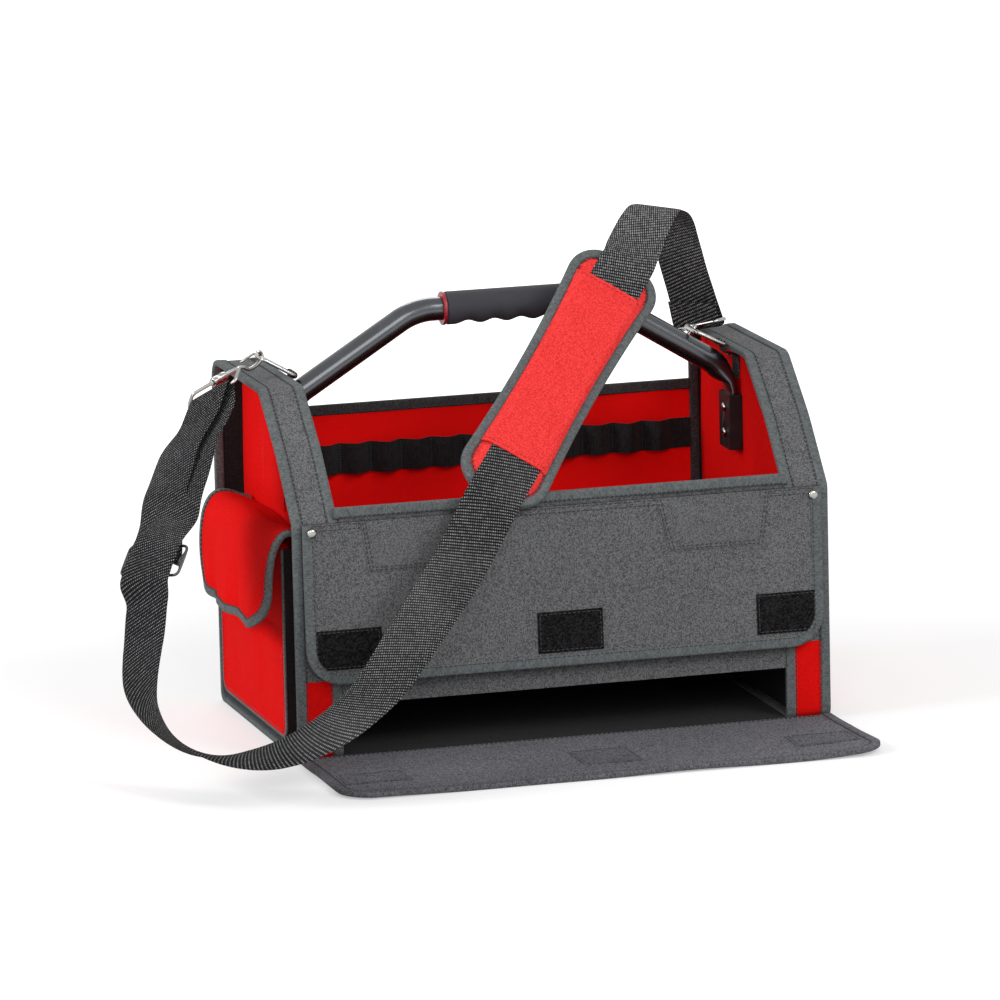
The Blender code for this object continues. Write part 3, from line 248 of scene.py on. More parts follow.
def piece(name, corners, faces, uv, materials, body, replaced=(), face_material=None, crease=42):
    """Mesh object from corners, faces and a place on the cloth for each corner of each face."""
    mesh = bpy.data.meshes.new(name)
    mesh.from_pydata(
        np.asarray(corners, float).reshape(-1, 3).tolist(), [], [list(map(int, face)) for face in faces]
    )
    mesh.uv_layers.new(name="Cloth").data.foreach_set("uv", np.asarray(uv, float).ravel())
    for material in materials if isinstance(materials, list) else [materials]:
        mesh.materials.append(material)
    if face_material is not None:
        mesh.polygons.foreach_set("material_index", np.asarray(face_material, int))
    right_way_out(mesh)
    mesh.polygons.foreach_set("use_smooth", [True] * len(mesh.polygons))
    mesh.set_sharp_from_angle(angle=math.radians(crease))
    obj = bpy.data.objects.new(name, mesh)
    bpy.context.scene.collection.objects.link(obj)
    if isinstance(body, str):
        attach(obj, body)
    else:
        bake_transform(obj)
    if replaced:
        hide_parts(*replaced)
    return obj


def paint(obj, second):
    """Gives the second material to the faces that the function picks by their middles and normals."""
    polygons = obj.data.polygons
    centres, facings = (np.empty(len(polygons) * 3) for _ in range(2))
    polygons.foreach_get("center", centres)
    polygons.foreach_get("normal", facings)
    polygons.foreach_set("material_index", second(centres.reshape(-1, 3), facings.reshape(-1, 3)).astype(int))


def right_way_out(mesh):
    """Turns every face outwards; a shell that holds a negative volume is turned whole."""
    made = bmesh.new()
    made.from_mesh(mesh)
    bmesh.ops.recalc_face_normals(made, faces=made.faces)
    if made.calc_volume(signed=True) < 0:
        bmesh.ops.reverse_faces(made, faces=made.faces)
    made.to_mesh(mesh)
    made.free()


def ring_faces(rows, points, closed=False):
    """Faces between rings of points, with their row and place round the ring, and the two end caps."""
    row = np.arange(rows if closed else rows - 1)[:, None]
    place = np.arange(points)[None, :]
    after, on = row + 1, place + 1
    shape = (row.size, points)
    uv_at = np.stack(
        [np.broadcast_to(item, shape) for item in (row, place, row, on, after, on, after, place)], axis=-1
    ).reshape(-1, 4, 2)
    faces = (uv_at[..., 0] % rows) * points + uv_at[..., 1] % points
    if not closed:
        near = np.arange(points // 2 - 1)
        cap = np.stack([near, points - 1 - near, points - 2 - near, near + 1], axis=-1)
        both = np.concatenate([cap[:, ::-1], cap + (rows - 1) * points])
        faces = np.concatenate([faces, both])
        uv_at = np.concatenate([uv_at, np.stack([both // points, both % points], axis=-1)])
    return faces, uv_at


def skin(name, rings, uv, materials, body, replaced=(), closed=False, pick=None, crease=42):
    """Solid through closed rings of points. uv has one more column than the ring has points."""
    rows, points = rings.shape[:2]
    faces, uv_at = ring_faces(rows, points, closed)
    chosen = None if pick is None else pick(rings.reshape(-1, 3)[faces].mean(axis=1), uv_at)
    return piece(
        name, rings, faces, uv[uv_at[..., 0], uv_at[..., 1]], materials, body, replaced, chosen, crease
    )


def cloth(name, front, back, uv, materials, body, replaced=(), pick=None):
    """Panel between a front and a back surface, both grids of the same size."""
    rings = np.concatenate([front, back[:, ::-1]], axis=1)
    around = np.concatenate([uv, uv[:, ::-1], uv[:, :1]], axis=1)
    return skin(name, rings, around, materials, body, replaced, pick=pick)


def thick(surface, thickness, outward):
    """Front and back of a sheet: the surface moved half its thickness along its own normal each way."""
    normal = unit(np.cross(np.gradient(surface, axis=0), np.gradient(surface, axis=1)))
    normal *= np.sign(np.sum(normal * np.asarray(outward, float), axis=-1, keepdims=True) + 1e-9)
    return surface + normal * thickness / 2, surface - normal * thickness / 2


def carry(name, path, side, up, section, materials, body, replaced=(), closed=False, pick=None):
    """Carries a closed section along a path: path + side x section's width + up x section's depth."""
    path, side, up = (np.asarray(item, float) for item in (path, side, up))
    side, up = np.broadcast_to(side, path.shape), np.broadcast_to(up, path.shape)
    section = np.asarray(section, float)
    if section.ndim == 2:
        section = np.broadcast_to(section, (len(path), *section.shape))
    rings = path[:, None] + side[:, None] * section[..., :1] + up[:, None] * section[..., 1:]
    along = lengths(np.vstack([path, path[:1]]) if closed else path)
    round_it = lengths(np.vstack([section[0], section[0][:1]]))
    uv = np.stack(np.broadcast_arrays(along[:, None], round_it[None, :]), axis=-1)
    return skin(name, rings, uv, materials, body, replaced, closed, pick)


def stitches(name, rows, material, body, pitch=None, long=None, radius=None):
    """Sewn rows: along each path a short thread every pitch, a capsule whose ends dive into the cloth."""
    pitch, long = pitch or sizes().stitch_pitch, long or sizes().stitch_length
    radius = radius or sizes().stitch_radius
    bow = np.array([-0.5, -0.38, 0.0, 0.38, 0.5])
    girth = np.array([0.35, 0.8, 1.0, 0.8, 0.35])
    sink = np.array([-0.9, -0.1, 0.35, -0.1, -0.9])
    facets = 6
    corners = len(bow) * facets
    angle = np.linspace(0, 2 * np.pi, facets, endpoint=False)
    rings = []
    for path, out in rows:
        path = np.asarray(path, float)
        out = np.broadcast_to(np.asarray(out, float), path.shape)
        total = lengths(path)[-1]
        count = max(2, int(total / pitch))
        both = np.concatenate([path, out], axis=1)
        along = lengths(path)
        wanted = (np.arange(count) + 0.5) * total / count
        at = np.stack([np.interp(wanted, along, both[:, axis]) for axis in range(6)], axis=1)
        place, normal = at[:, :3], unit(at[:, 3:])
        way = slopes(place)
        across = unit(np.cross(way, normal))
        middle = (
            place[:, None] + way[:, None] * bow[None, :, None] * long
            + normal[:, None] * (sink * radius)[None, :, None]
        )
        cosine, sine = (wave(angle)[None, None, :, None] for wave in (np.cos, np.sin))
        ring = across[:, None, None] * cosine + normal[:, None, None] * sine
        ring = middle[:, :, None] + ring * (girth * radius)[None, :, None, None]
        rings.append(ring.reshape(-1, corners, 3))
    threads = np.concatenate(rings)
    faces, uv_at = ring_faces(len(bow), facets)
    whole = (faces[None] + np.arange(len(threads))[:, None, None] * corners).reshape(-1, 4)
    uv = np.tile((uv_at * 0.0005)[None], (len(threads), 1, 1, 1)).reshape(-1, 2)
    return piece(name, threads, whole, uv, material, body, crease=80)


def refined(node, material, body, crease=48, levels=0):
    """Copy of a model node: its loose triangles are merged, subdivided and smooth where it curves."""
    made = bmesh.new()
    made.from_mesh(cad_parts[node].data)
    bmesh.ops.remove_doubles(made, verts=made.verts, dist=1e-6)
    if levels:
        bmesh.ops.join_triangles(made, faces=made.faces, angle_face_threshold=0.6, angle_shape_threshold=0.8)
    bmesh.ops.recalc_face_normals(made, faces=made.faces)
    mesh = bpy.data.meshes.new(node + "_fine")
    made.to_mesh(mesh)
    made.free()
    mesh.materials.clear()
    mesh.materials.append(material)
    mesh.polygons.foreach_set("material_index", [0] * len(mesh.polygons))
    mesh.polygons.foreach_set("use_smooth", [True] * len(mesh.polygons))
    mesh.set_sharp_from_angle(angle=math.radians(crease))
    obj = bpy.data.objects.new(node + "_fine", mesh)
    bpy.context.scene.collection.objects.link(obj)
    if levels:
        finer = obj.modifiers.new("Finer", "SUBSURF")
        finer.levels = finer.render_levels = levels
        settle(obj)
        obj.data.polygons.foreach_set("use_smooth", [True] * len(obj.data.polygons))
    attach(obj, body)
    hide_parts(node)
    return obj


# Materials


class Web:
    """Shorter words for adding and joining shader nodes."""

    def __init__(self, tree):
        self.tree = tree

    def add(self, kind, **values):
        """New node: each value is joined to, set on or put into what bears its name."""
        node = self.tree.nodes.new(kind)
        for key, value in values.items():
            if isinstance(value, bpy.types.NodeSocket):
                self.tree.links.new(value, node.inputs[key.replace("_", " ")])
            elif hasattr(node, key):
                setattr(node, key, value)
            else:
                node.inputs[key.replace("_", " ")].default_value = value
        return node

    def join(self, source, target):
        self.tree.links.new(source, target)

    def maths(self, operation, *values):
        """Result of one operation on numbers or sockets."""
        node = self.tree.nodes.new("ShaderNodeMath")
        node.operation = operation
        for index, value in enumerate(values):
            if isinstance(value, bpy.types.NodeSocket):
                self.join(value, node.inputs[index])
            else:
                node.inputs[index].default_value = value
        return node.outputs[0]

    def blend(self, share, first, second):
        """Colour between the first and the second."""
        node = self.tree.nodes.new("ShaderNodeMix")
        node.data_type = "RGBA"
        for index, value in ((0, share), (6, first), (7, second)):
            if isinstance(value, bpy.types.NodeSocket):
                self.join(value, node.inputs[index])
            else:
                node.inputs[index].default_value = value
        return node.outputs[2]

    def soft_step(self, value, low, high):
        """Smooth step of the value from nought at low to one at high."""
        node = self.add("ShaderNodeMapRange", interpolation_type="SMOOTHSTEP")
        self.join(value, node.inputs[0])
        node.inputs[1].default_value, node.inputs[2].default_value = low, high
        return node.outputs[0]

    def noise(self, place, scale, detail):
        """Smooth noise at the place."""
        node = self.add("ShaderNodeTexNoise")
        self.join(place, node.inputs["Vector"])
        node.inputs["Scale"].default_value = scale
        node.inputs["Detail"].default_value = detail
        return node.outputs[0]

    def grain_at(self, x, y):
        """One random number for each whole x and y."""
        spot = self.add("ShaderNodeCombineXYZ", X=x, Y=y).outputs[0]
        node = self.add("ShaderNodeTexWhiteNoise", noise_dimensions="2D")
        self.join(spot, node.inputs["Vector"])
        return node.outputs["Value"]


def group(name, inputs, outputs):
    """New node group with its sockets, its web and its two ends."""
    tree = bpy.data.node_groups.new(name, "ShaderNodeTree")
    for label, kind, value in inputs:
        socket = tree.interface.new_socket(label, in_out="INPUT", socket_type=kind)
        if value is not None:
            socket.default_value = value
    for label, kind in outputs:
        tree.interface.new_socket(label, in_out="OUTPUT", socket_type=kind)
    web = Web(tree)
    return tree, web, web.add("NodeGroupInput").outputs, web.add("NodeGroupOutput").inputs


YARN_INPUTS = (
    ("Cloth", "NodeSocketVector", None),
    ("Solid", "NodeSocketVector", None),
    ("Pitch", "NodeSocketFloat", 0.001),
    ("Heather", "NodeSocketFloat", 0.5),
    ("Light", "NodeSocketColor", (1, 1, 1, 1)),
    ("Dark", "NodeSocketColor", (0, 0, 0, 1)),
)
YARN_OUTPUTS = (("Color", "NodeSocketColor"), ("Height", "NodeSocketFloat"), ("Roughness", "NodeSocketFloat"))


def finish_yarn(web, ends, out, tone, relief, pitch_share, slack):
    """Common end of the cloth groups: yarn tone to colour, relief and slack to a height in metres."""
    broad = web.noise(ends["Solid"], 9.0, 3.0)
    uneven = web.maths("MULTIPLY_ADD", web.maths("SUBTRACT", broad, 0.5), 0.30, tone)
    fac = web.maths("MINIMUM", web.maths("MAXIMUM", uneven, 0.0), 1.0)
    web.join(web.blend(fac, ends["Dark"], ends["Light"]), out["Color"])
    yarn = web.maths("MULTIPLY", relief, web.maths("MULTIPLY", ends["Pitch"], pitch_share))
    folds = web.maths("MULTIPLY", web.noise(ends["Solid"], 22.0, 2.0), slack)
    web.join(web.maths("ADD", yarn, folds), out["Height"])
    web.join(web.maths("MULTIPLY_ADD", fac, -0.10, 0.95), out["Roughness"])


def weave_group():
    """Plain weave: warp and weft swap at each cell, and each yarn keeps its own tone for some cells; painted
    shade darkens each yarn where it dips.
    """
    tree, web, ends, out = group("Plain weave", YARN_INPUTS, YARN_OUTPUTS)
    split = web.add("ShaderNodeSeparateXYZ", Vector=ends["Cloth"]).outputs
    u, v = web.maths("DIVIDE", split[0], ends["Pitch"]), web.maths("DIVIDE", split[1], ends["Pitch"])
    column, row = web.maths("FLOOR", u), web.maths("FLOOR", v)
    over = web.maths(
        "MULTIPLY", web.maths("FRACT", web.maths("MULTIPLY", web.maths("ADD", column, row), 0.5)), 2.0
    )
    warp = web.maths("SINE", web.maths("MULTIPLY", web.maths("FRACT", u), math.pi))
    weft = web.maths("SINE", web.maths("MULTIPLY", web.maths("FRACT", v), math.pi))
    relief = web.maths(
        "ADD", web.maths("MULTIPLY", warp, over),
        web.maths("MULTIPLY", weft, web.maths("SUBTRACT", 1.0, over)),
    )
    warp_tone = web.grain_at(column, web.maths("FLOOR", web.maths("MULTIPLY", v, 0.6)))
    weft_tone = web.grain_at(web.maths("FLOOR", web.maths("MULTIPLY_ADD", u, 0.6, 57.0)), row)
    mixed = web.maths(
        "ADD", web.maths("MULTIPLY", warp_tone, over),
        web.maths("MULTIPLY", weft_tone, web.maths("SUBTRACT", 1.0, over)),
    )
    spread = web.maths("MULTIPLY", web.maths("SUBTRACT", mixed, 0.5), ends["Heather"])
    # Painted shade: the tone follows the relief, darker where a yarn dips under its crossing yarn and lighter
    # on its crown
    shade = web.maths("MULTIPLY_ADD", web.maths("SUBTRACT", relief, 0.6), 0.35, 0.5)
    finish_yarn(web, ends, out, web.maths("ADD", shade, spread), relief, 0.22, 0.0009)
    return tree


def twill_group():
    """Twill webbing: two sets of slanting ribs cross, so that short light floats stand on a dark ground.

    The floats are painted broader over the raised arch, as painted light where it faces up, and
    narrower on the run at the left, as painted shade.
    """
    tree, web, ends, out = group("Twill webbing", YARN_INPUTS, YARN_OUTPUTS)
    split = web.add("ShaderNodeSeparateXYZ", Vector=ends["Cloth"]).outputs
    rib = web.maths("DIVIDE", web.maths("MULTIPLY_ADD", split[1], 0.42, split[0]), ends["Pitch"])
    ridge = web.maths("SINE", web.maths("MULTIPLY", web.maths("FRACT", rib), math.pi))
    cell = web.maths(
        "DIVIDE", web.maths("MULTIPLY_ADD", split[0], -0.35, split[1]),
        web.maths("MULTIPLY", ends["Pitch"], 0.62),
    )
    picks = web.maths("SINE", web.maths("MULTIPLY", web.maths("FRACT", cell), math.pi))
    tone = web.grain_at(web.maths("FLOOR", rib), web.maths("FLOOR", cell))
    place = web.add("ShaderNodeSeparateXYZ", Vector=ends["Solid"]).outputs
    # Painted light: the light floats widen over the arch, above z 0.36 to 0.43 m
    arch_painted_light = web.maths("MULTIPLY_ADD", web.soft_step(place[2], 0.36, 0.43), 0.34, ridge)
    # Painted shade: the light floats narrow on the run at the left, beyond x -0.24 to -0.31 m
    slack = web.soft_step(web.maths("MULTIPLY", place[0], -1.0), 0.24, 0.31)
    float_breadth_and_painted_light = web.maths("MULTIPLY_ADD", slack, -0.09, arch_painted_light)
    lit = web.maths(
        "MULTIPLY", web.soft_step(float_breadth_and_painted_light, 0.62, 1.0),
        web.maths("MULTIPLY_ADD", web.soft_step(picks, 0.45, 1.0), 0.94, 0.03),
    )
    spread = web.maths(
        "MULTIPLY", web.maths("SUBTRACT", tone, 0.5), web.maths("MULTIPLY", ends["Heather"], lit)
    )
    relief = web.maths("MULTIPLY", web.maths("MULTIPLY_ADD", picks, 0.45, 0.55), ridge)
    finish_yarn(
        web, ends, out, web.maths("ADD", web.maths("MULTIPLY", lit, 0.85), spread), relief, 0.20, 0.0003
    )
    return tree


def rib_group():
    """Ribbed tape: fine ribs square to the tape's length, dented where the weft turns at the edges."""
    tree, web, ends, out = group("Ribbed tape", YARN_INPUTS, YARN_OUTPUTS)
    split = web.add("ShaderNodeSeparateXYZ", Vector=ends["Cloth"]).outputs
    rib = web.maths("DIVIDE", split[0], ends["Pitch"])
    ridge = web.maths("SINE", web.maths("MULTIPLY", web.maths("FRACT", rib), math.pi))
    end = web.maths("DIVIDE", split[1], ends["Pitch"])
    tone = web.grain_at(web.maths("FLOOR", rib), web.maths("FLOOR", web.maths("MULTIPLY", end, 0.5)))
    spread = web.maths("MULTIPLY", web.maths("SUBTRACT", tone, 0.5), ends["Heather"])
    # Painted shade: the tone follows the ridge, lighter on each rib and darker in the grooves between
    finish_yarn(
        web, ends, out, web.maths("MULTIPLY_ADD", ridge, 0.55, web.maths("ADD", spread, 0.15)), ridge, 0.20,
        0.0002,
    )
    return tree


def pile_group():
    """Hook or loop pile: small cells, each a raised tuft of its own tone."""
    tree, web, ends, out = group("Pile tape", YARN_INPUTS, YARN_OUTPUTS)
    cells = web.add("ShaderNodeTexVoronoi", Vector=ends["Cloth"])
    web.join(web.maths("DIVIDE", 1.0, ends["Pitch"]), cells.inputs["Scale"])
    tuft = web.maths("SUBTRACT", 1.0, cells.outputs["Distance"])
    tone = web.add("ShaderNodeSeparateColor", Color=cells.outputs["Color"]).outputs[0]
    spread = web.maths("MULTIPLY", web.maths("SUBTRACT", tone, 0.4), ends["Heather"])
    # Painted shade: each tuft is lighter at its middle and darker towards its rim, from its height
    finish_yarn(web, ends, out, web.maths("MULTIPLY_ADD", tuft, 0.5, spread), tuft, 0.5, 0.0002)
    return tree


def grain_group():
    """Moulded or foamed skin and drawn metal: fine cells and broad rubs, as tone, height and roughness."""
    inputs = (
        ("Solid", "NodeSocketVector", None),
        ("Color", "NodeSocketColor", (1, 1, 1, 1)),
        ("Scale", "NodeSocketFloat", 900.0),
        ("Depth", "NodeSocketFloat", 0.0001),
        ("Roughness", "NodeSocketFloat", 0.5),
        ("Wear", "NodeSocketFloat", 0.2),
    )
    tree, web, ends, out = group("Skin grain", inputs, YARN_OUTPUTS)
    fine = web.add("ShaderNodeTexNoise", Vector=ends["Solid"], Scale=ends["Scale"])
    broad = web.noise(ends["Solid"], 45.0, 4.0)
    rubbed = web.soft_step(broad, 0.52, 0.75)
    paler = web.blend(web.maths("MULTIPLY", rubbed, ends["Wear"]), ends["Color"], (0.5, 0.5, 0.5, 1))
    web.join(paler, out["Color"])
    web.join(web.maths("MULTIPLY", fine.outputs[0], ends["Depth"]), out["Height"])
    vary = web.maths("MULTIPLY", web.maths("SUBTRACT", broad, 0.5), ends["Wear"])
    web.join(web.maths("ADD", ends["Roughness"], vary), out["Roughness"])
    return tree


GROUPS = {
    "weave": ("Plain weave", weave_group),
    "twill": ("Twill webbing", twill_group),
    "rib": ("Ribbed tape", rib_group),
    "pile": ("Pile tape", pile_group),
    "grain": ("Skin grain", grain_group),
}


def effect(web, kind, **values):
    """Places one of the shared groups, built the first time that it is asked for."""
    name, build = GROUPS[kind]
    node = web.add("ShaderNodeGroup", node_tree=bpy.data.node_groups.get(name) or build())
    for key, value in values.items():
        if isinstance(value, bpy.types.NodeSocket):
            web.join(value, node.inputs[key])
        else:
            node.inputs[key].default_value = value
    return node.outputs


def material(name, build):
    """The named material, built by the function the first time that it is asked for."""
    made = bpy.data.materials.get(name)
    if made is None:
        made = bpy.data.materials.new(name)
        made.use_nodes = True
        web = Web(made.node_tree)
        web.tree.nodes.clear()
        shader = web.add("ShaderNodeBsdfPrincipled")
        web.join(shader.outputs[0], web.add("ShaderNodeOutputMaterial").inputs[0])
        build(web, shader)
    return made


def alpha(colour):
    return (colour[0], colour[1], colour[2], 1.0)


def yarn(name, kind, light, dark, pitch, heather, sheen=0.03, gloss=0.10):
    """Cloth finish: colour, height and roughness from one of the yarn groups."""

    def build(web, shader):
        where = web.add("ShaderNodeTexCoord").outputs
        out = effect(
            web, kind, Cloth=where["UV"], Solid=where["Object"], Pitch=pitch, Heather=heather,
            Light=alpha(light), Dark=alpha(dark),
        )
        web.join(out["Color"], shader.inputs["Base Color"])
        web.join(out["Roughness"], shader.inputs["Roughness"])
        bump = web.add("ShaderNodeBump", Height=out["Height"], Distance=1.0, Strength=0.8)
        web.join(bump.outputs[0], shader.inputs["Normal"])
        shader.inputs["Specular IOR Level"].default_value = gloss
        shader.inputs["Sheen Weight"].default_value = sheen
        shader.inputs["Sheen Roughness"].default_value = 0.5

    return material(name, build)


def hard(name, colour, metallic, roughness, scale, depth, wear, coat=0.0, gloss=0.5):
    """Metal, moulded or foamed finish."""

    def build(web, shader):
        solid = web.add("ShaderNodeTexCoord").outputs["Object"]
        out = effect(
            web, "grain", Solid=solid, Color=alpha(colour), Scale=scale, Depth=depth, Roughness=roughness,
            Wear=wear,
        )
        web.join(out["Color"], shader.inputs["Base Color"])
        web.join(out["Roughness"], shader.inputs["Roughness"])
        bump = web.add("ShaderNodeBump", Height=out["Height"], Distance=1.0, Strength=0.7)
        web.join(bump.outputs[0], shader.inputs["Normal"])
        shader.inputs["Metallic"].default_value = metallic
        shader.inputs["Specular IOR Level"].default_value = gloss
        shader.inputs["Coat Weight"].default_value = coat
        shader.inputs["Coat Roughness"].default_value = 0.12

    return material(name, build)


def grey_cloth():
    c = colours()
    return yarn("Grey heather cloth", "weave", c.grey_light, c.grey_dark, sizes().thread_pitch, 1.25)


def lining_cloth():
    c = colours()
    return yarn("Flap lining", "weave", c.lining_light, c.lining_dark, sizes().thread_pitch, 1.35)


def red_cloth():
    c = colours()
    return yarn("Red cloth", "weave", c.red_light, c.red_dark, sizes().thread_pitch, 0.55, 0.0, 0.05)


def back_red_painted_light():
    """The back wall's inner face: the red cloth painted brighter than elsewhere, as painted light inside the
    bag.
    """
    c = colours()
    return yarn(
        "Red cloth, back wall, painted light", "weave", c.red_light * 1.1, c.red_dark * 1.5, sizes().thread_pitch, 0.55,
        0.0, 0.05,
    )


def sleeve_cloth():
    c = colours()
    return yarn("Sleeve cloth", "weave", c.sleeve_light, c.sleeve_dark, sizes().thread_pitch, 0.75, 0.0, 0.05)


def black_cloth():
    c = colours()
    return yarn("Black cloth", "weave", c.black_light, c.black_dark, sizes().thread_pitch, 0.6)


def binding_tape():
    c = colours()
    return yarn("Edge binding", "rib", c.tape_light, c.tape_dark, 0.0010, 0.70)


def dark_tape():
    c = colours()
    return yarn("Dark binding", "rib", c.strap_light * 0.22, c.black_light, 0.0010, 0.8)


def dark_edging():
    c = colours()
    return yarn("Dark edging", "rib", c.lining_light * 0.8, c.lining_dark, 0.0010, 0.9)


def patch_cloth():
    c = colours()
    return yarn("Patch cloth", "weave", c.grey_light, c.grey_dark, sizes().thread_pitch * 0.8, 1.25)


def elastic():
    c = colours()
    return yarn("Elastic", "rib", c.black_light, c.black_dark, 0.0014, 0.4)


def webbing():
    c = colours()
    return yarn("Webbing", "twill", c.strap_light, c.strap_dark, sizes().rib_pitch, 0.8, 0.0)


def hook_pile():
    c = colours()
    return yarn("Hook tape", "pile", c.black_light, c.black_dark * 0.5, 0.0014, 0.9, 0.0, 0.06)


def loop_pile():
    c = colours()
    return yarn("Loop tape", "pile", c.lining_light, c.lining_dark, 0.0012, 0.9)


def sewing(name, shade, roughness=0.75):
    """Finish of a sewing thread."""
    return hard(name, shade, 0.0, roughness, 2500.0, 0.00005, 0.05)


def thread(red=False):
    c = colours()
    return sewing("Red thread", c.thread_red) if red else sewing("Dark thread", c.thread)


def sleeve_thread():
    return sewing("Sleeve thread", colours().sleeve_dark)


def faint_thread():
    return sewing("Grey thread", colours().lining_dark * 1.3, 0.8)


def steel():
    return hard("Plated steel", colours().steel, 1.0, 0.24, 900.0, 0.00001, 0.10)


def dark_steel():
    return hard("Dark plated steel", colours().steel * 0.2, 0.9, 0.36, 900.0, 0.00001, 0.10)


def tube_metal():
    return hard("Lacquered tube", colours().tube, 0.9, 0.27, 700.0, 0.00001, 0.04, 0.6)


def black_plastic():
    return hard("Black plastic", colours().plastic, 0.0, 0.42, 1400.0, 0.00006, 0.02, 0.0, 0.3)


def grip_foam():
    return hard("Grip foam", colours().foam, 0.0, 0.85, 1800.0, 0.00018, 0.01)


def ring_plastic():
    return hard("Red plastic", colours().ring, 0.0, 0.38, 900.0, 0.00002, 0.02)


# Laying cloth on a surface that is given as a function of two lengths


def normals(place, a, b, outward):
    """Normal of place(a, b): the cross product of its two slopes, turned to the outward side."""
    step = 4e-4
    across = place(a + step, b) - place(a - step, b)
    along = place(a, b + step) - place(a, b - step)
    normal = unit(np.cross(across, along))
    return normal * np.where(normal @ np.asarray(outward, float) < 0, -1.0, 1.0)[..., None]


def lifted(place, a, b, outward, lift):
    """Points of the surface moved out along its normal, and the normals."""
    normal = normals(place, a, b, outward)
    return place(a, b) + normal * lift, normal


def tongue(a0, a1, b0, b1, radius, across=70, arc=10, rest=40):
    """Grid over a panel with two round corners at b0.

    Near them each side draws in by r - sqrt(r^2 - (r - height)^2).
    """
    turn = np.linspace(0, np.pi / 2, arc, endpoint=False)
    height = np.concatenate([radius * (1 - np.cos(turn)), np.linspace(radius, b1 - b0, rest)])
    near = np.minimum(height, radius)
    draw = radius - np.sqrt(np.maximum(radius**2 - (radius - near) ** 2, 0))
    share = np.linspace(0, 1, across)[:, None]
    a = (a0 + draw) + share * ((a1 - draw) - (a0 + draw))
    return a, np.broadcast_to(b0 + height, a.shape)


def free_edge(a0, a1, b0, b1, radius, count=260):
    """Way along three sides of such a panel: down one side, round both corners and up the other."""
    turn = np.linspace(0, np.pi / 2, 12)[:, None]
    first = np.hstack([a0 + radius - radius * np.cos(turn), b0 + radius - radius * np.sin(turn)])
    last = np.hstack([a1 - radius + radius * np.sin(turn), b0 + radius - radius * np.cos(turn)])
    return resample(np.vstack([[(a0, b1)], first, last, [(a1, b1)]]), count)


def laid(name, place, a, b, outward, thickness, lift, materials, body, replaced=()):
    """Cloth panel on the surface: its two faces lie half the thickness either side of the lifted surface."""
    middle, normal = lifted(place, a, b, outward, lift)
    reach = normal * thickness / 2
    columns = a.shape[1]

    def pick(centres, uv_at):
        return uv_at[..., 1].mean(axis=1) > columns - 0.6

    uv = np.stack([a, b], axis=-1)
    chosen = pick if isinstance(materials, list) else None
    return cloth(name, middle + reach, middle - reach, uv, materials, body, replaced, chosen)


def edged(name, place, way, outward, section, lift, material, body, replaced=()):
    """Folded tape along a way on the surface, its section square to the way and to the surface."""
    path, normal = lifted(place, way[:, 0], way[:, 1], outward, lift)
    side = unit(np.cross(slopes(path), normal))
    return carry(name, path, side, normal, section, material, body, replaced)


def row_on(place, way, outward, lift):
    """Sewn row along a way on the surface, ready for stitches()."""
    return lifted(place, way[:, 0], way[:, 1], outward, lift)


def straight(*points, spacing=0.002):
    """Polygon through the given points with its points evenly spaced."""
    points = np.asarray(points, float)
    return resample(points, max(8, int(lengths(points)[-1] / spacing)))


def drawn_in(span, share):
    """Way round a rectangle (a0, a1, b0, b1), drawn in to the share of its size about its middle."""
    a0, a1, b0, b1 = span
    edge = straight((a0, b0), (a1, b0), (a1, b1), (a0, b1), (a0, b0))
    middle = np.array([(a0 + a1) / 2, (b0 + b1) / 2])
    return middle + (edge - middle) * share


def facing(x=None, y=None, z=None, slack=None):
    """Flat surface at a fixed x, y or z that rises by the slack function."""
    slack = slack or (lambda a, b: 0.0)

    def place(a, b):
        a, b = np.broadcast_arrays(np.asarray(a, float), np.asarray(b, float))
        rise = slack(a, b) + np.zeros(a.shape)
        if x is not None:
            return np.stack([x + rise, a, b], axis=-1)
        if y is not None:
            return np.stack([a, y + rise, b], axis=-1)
        return np.stack([a, b, z + rise], axis=-1)

    return place


def eased(share):
    """Smooth step of a share from nought to one: share^2 (3 - 2 share)."""
    return share * share * (3 - 2 * share)


def fade(value, low, high, reach):
    """Nought at both ends of the span and one beyond the reach from them, as a smooth step."""
    return eased(np.clip(np.minimum(value - low, high - value) / reach, 0, 1))


def grid(a0, a1, b0, b1, columns, rows):
    return np.meshgrid(np.linspace(a0, a1, columns), np.linspace(b0, b1, rows), indexing="ij")


# Stage


def point_lamp(name, place, towards, power, size):
    """Soft square lamp that looks at a point."""
    data = bpy.data.lights.new(name, "AREA")
    data.energy, data.shape, data.size = power, "SQUARE", size
    lamp = bpy.data.objects.new(name, data)
    bpy.context.scene.collection.objects.link(lamp)
    back = unit(np.asarray(place, float) - np.asarray(towards, float))
    right = unit(np.cross((0, 0, 1), back))
    turn = np.column_stack([right, np.cross(back, right), back, place])
    lamp.matrix_world = Matrix([*turn.tolist(), [0, 0, 0, 1]])


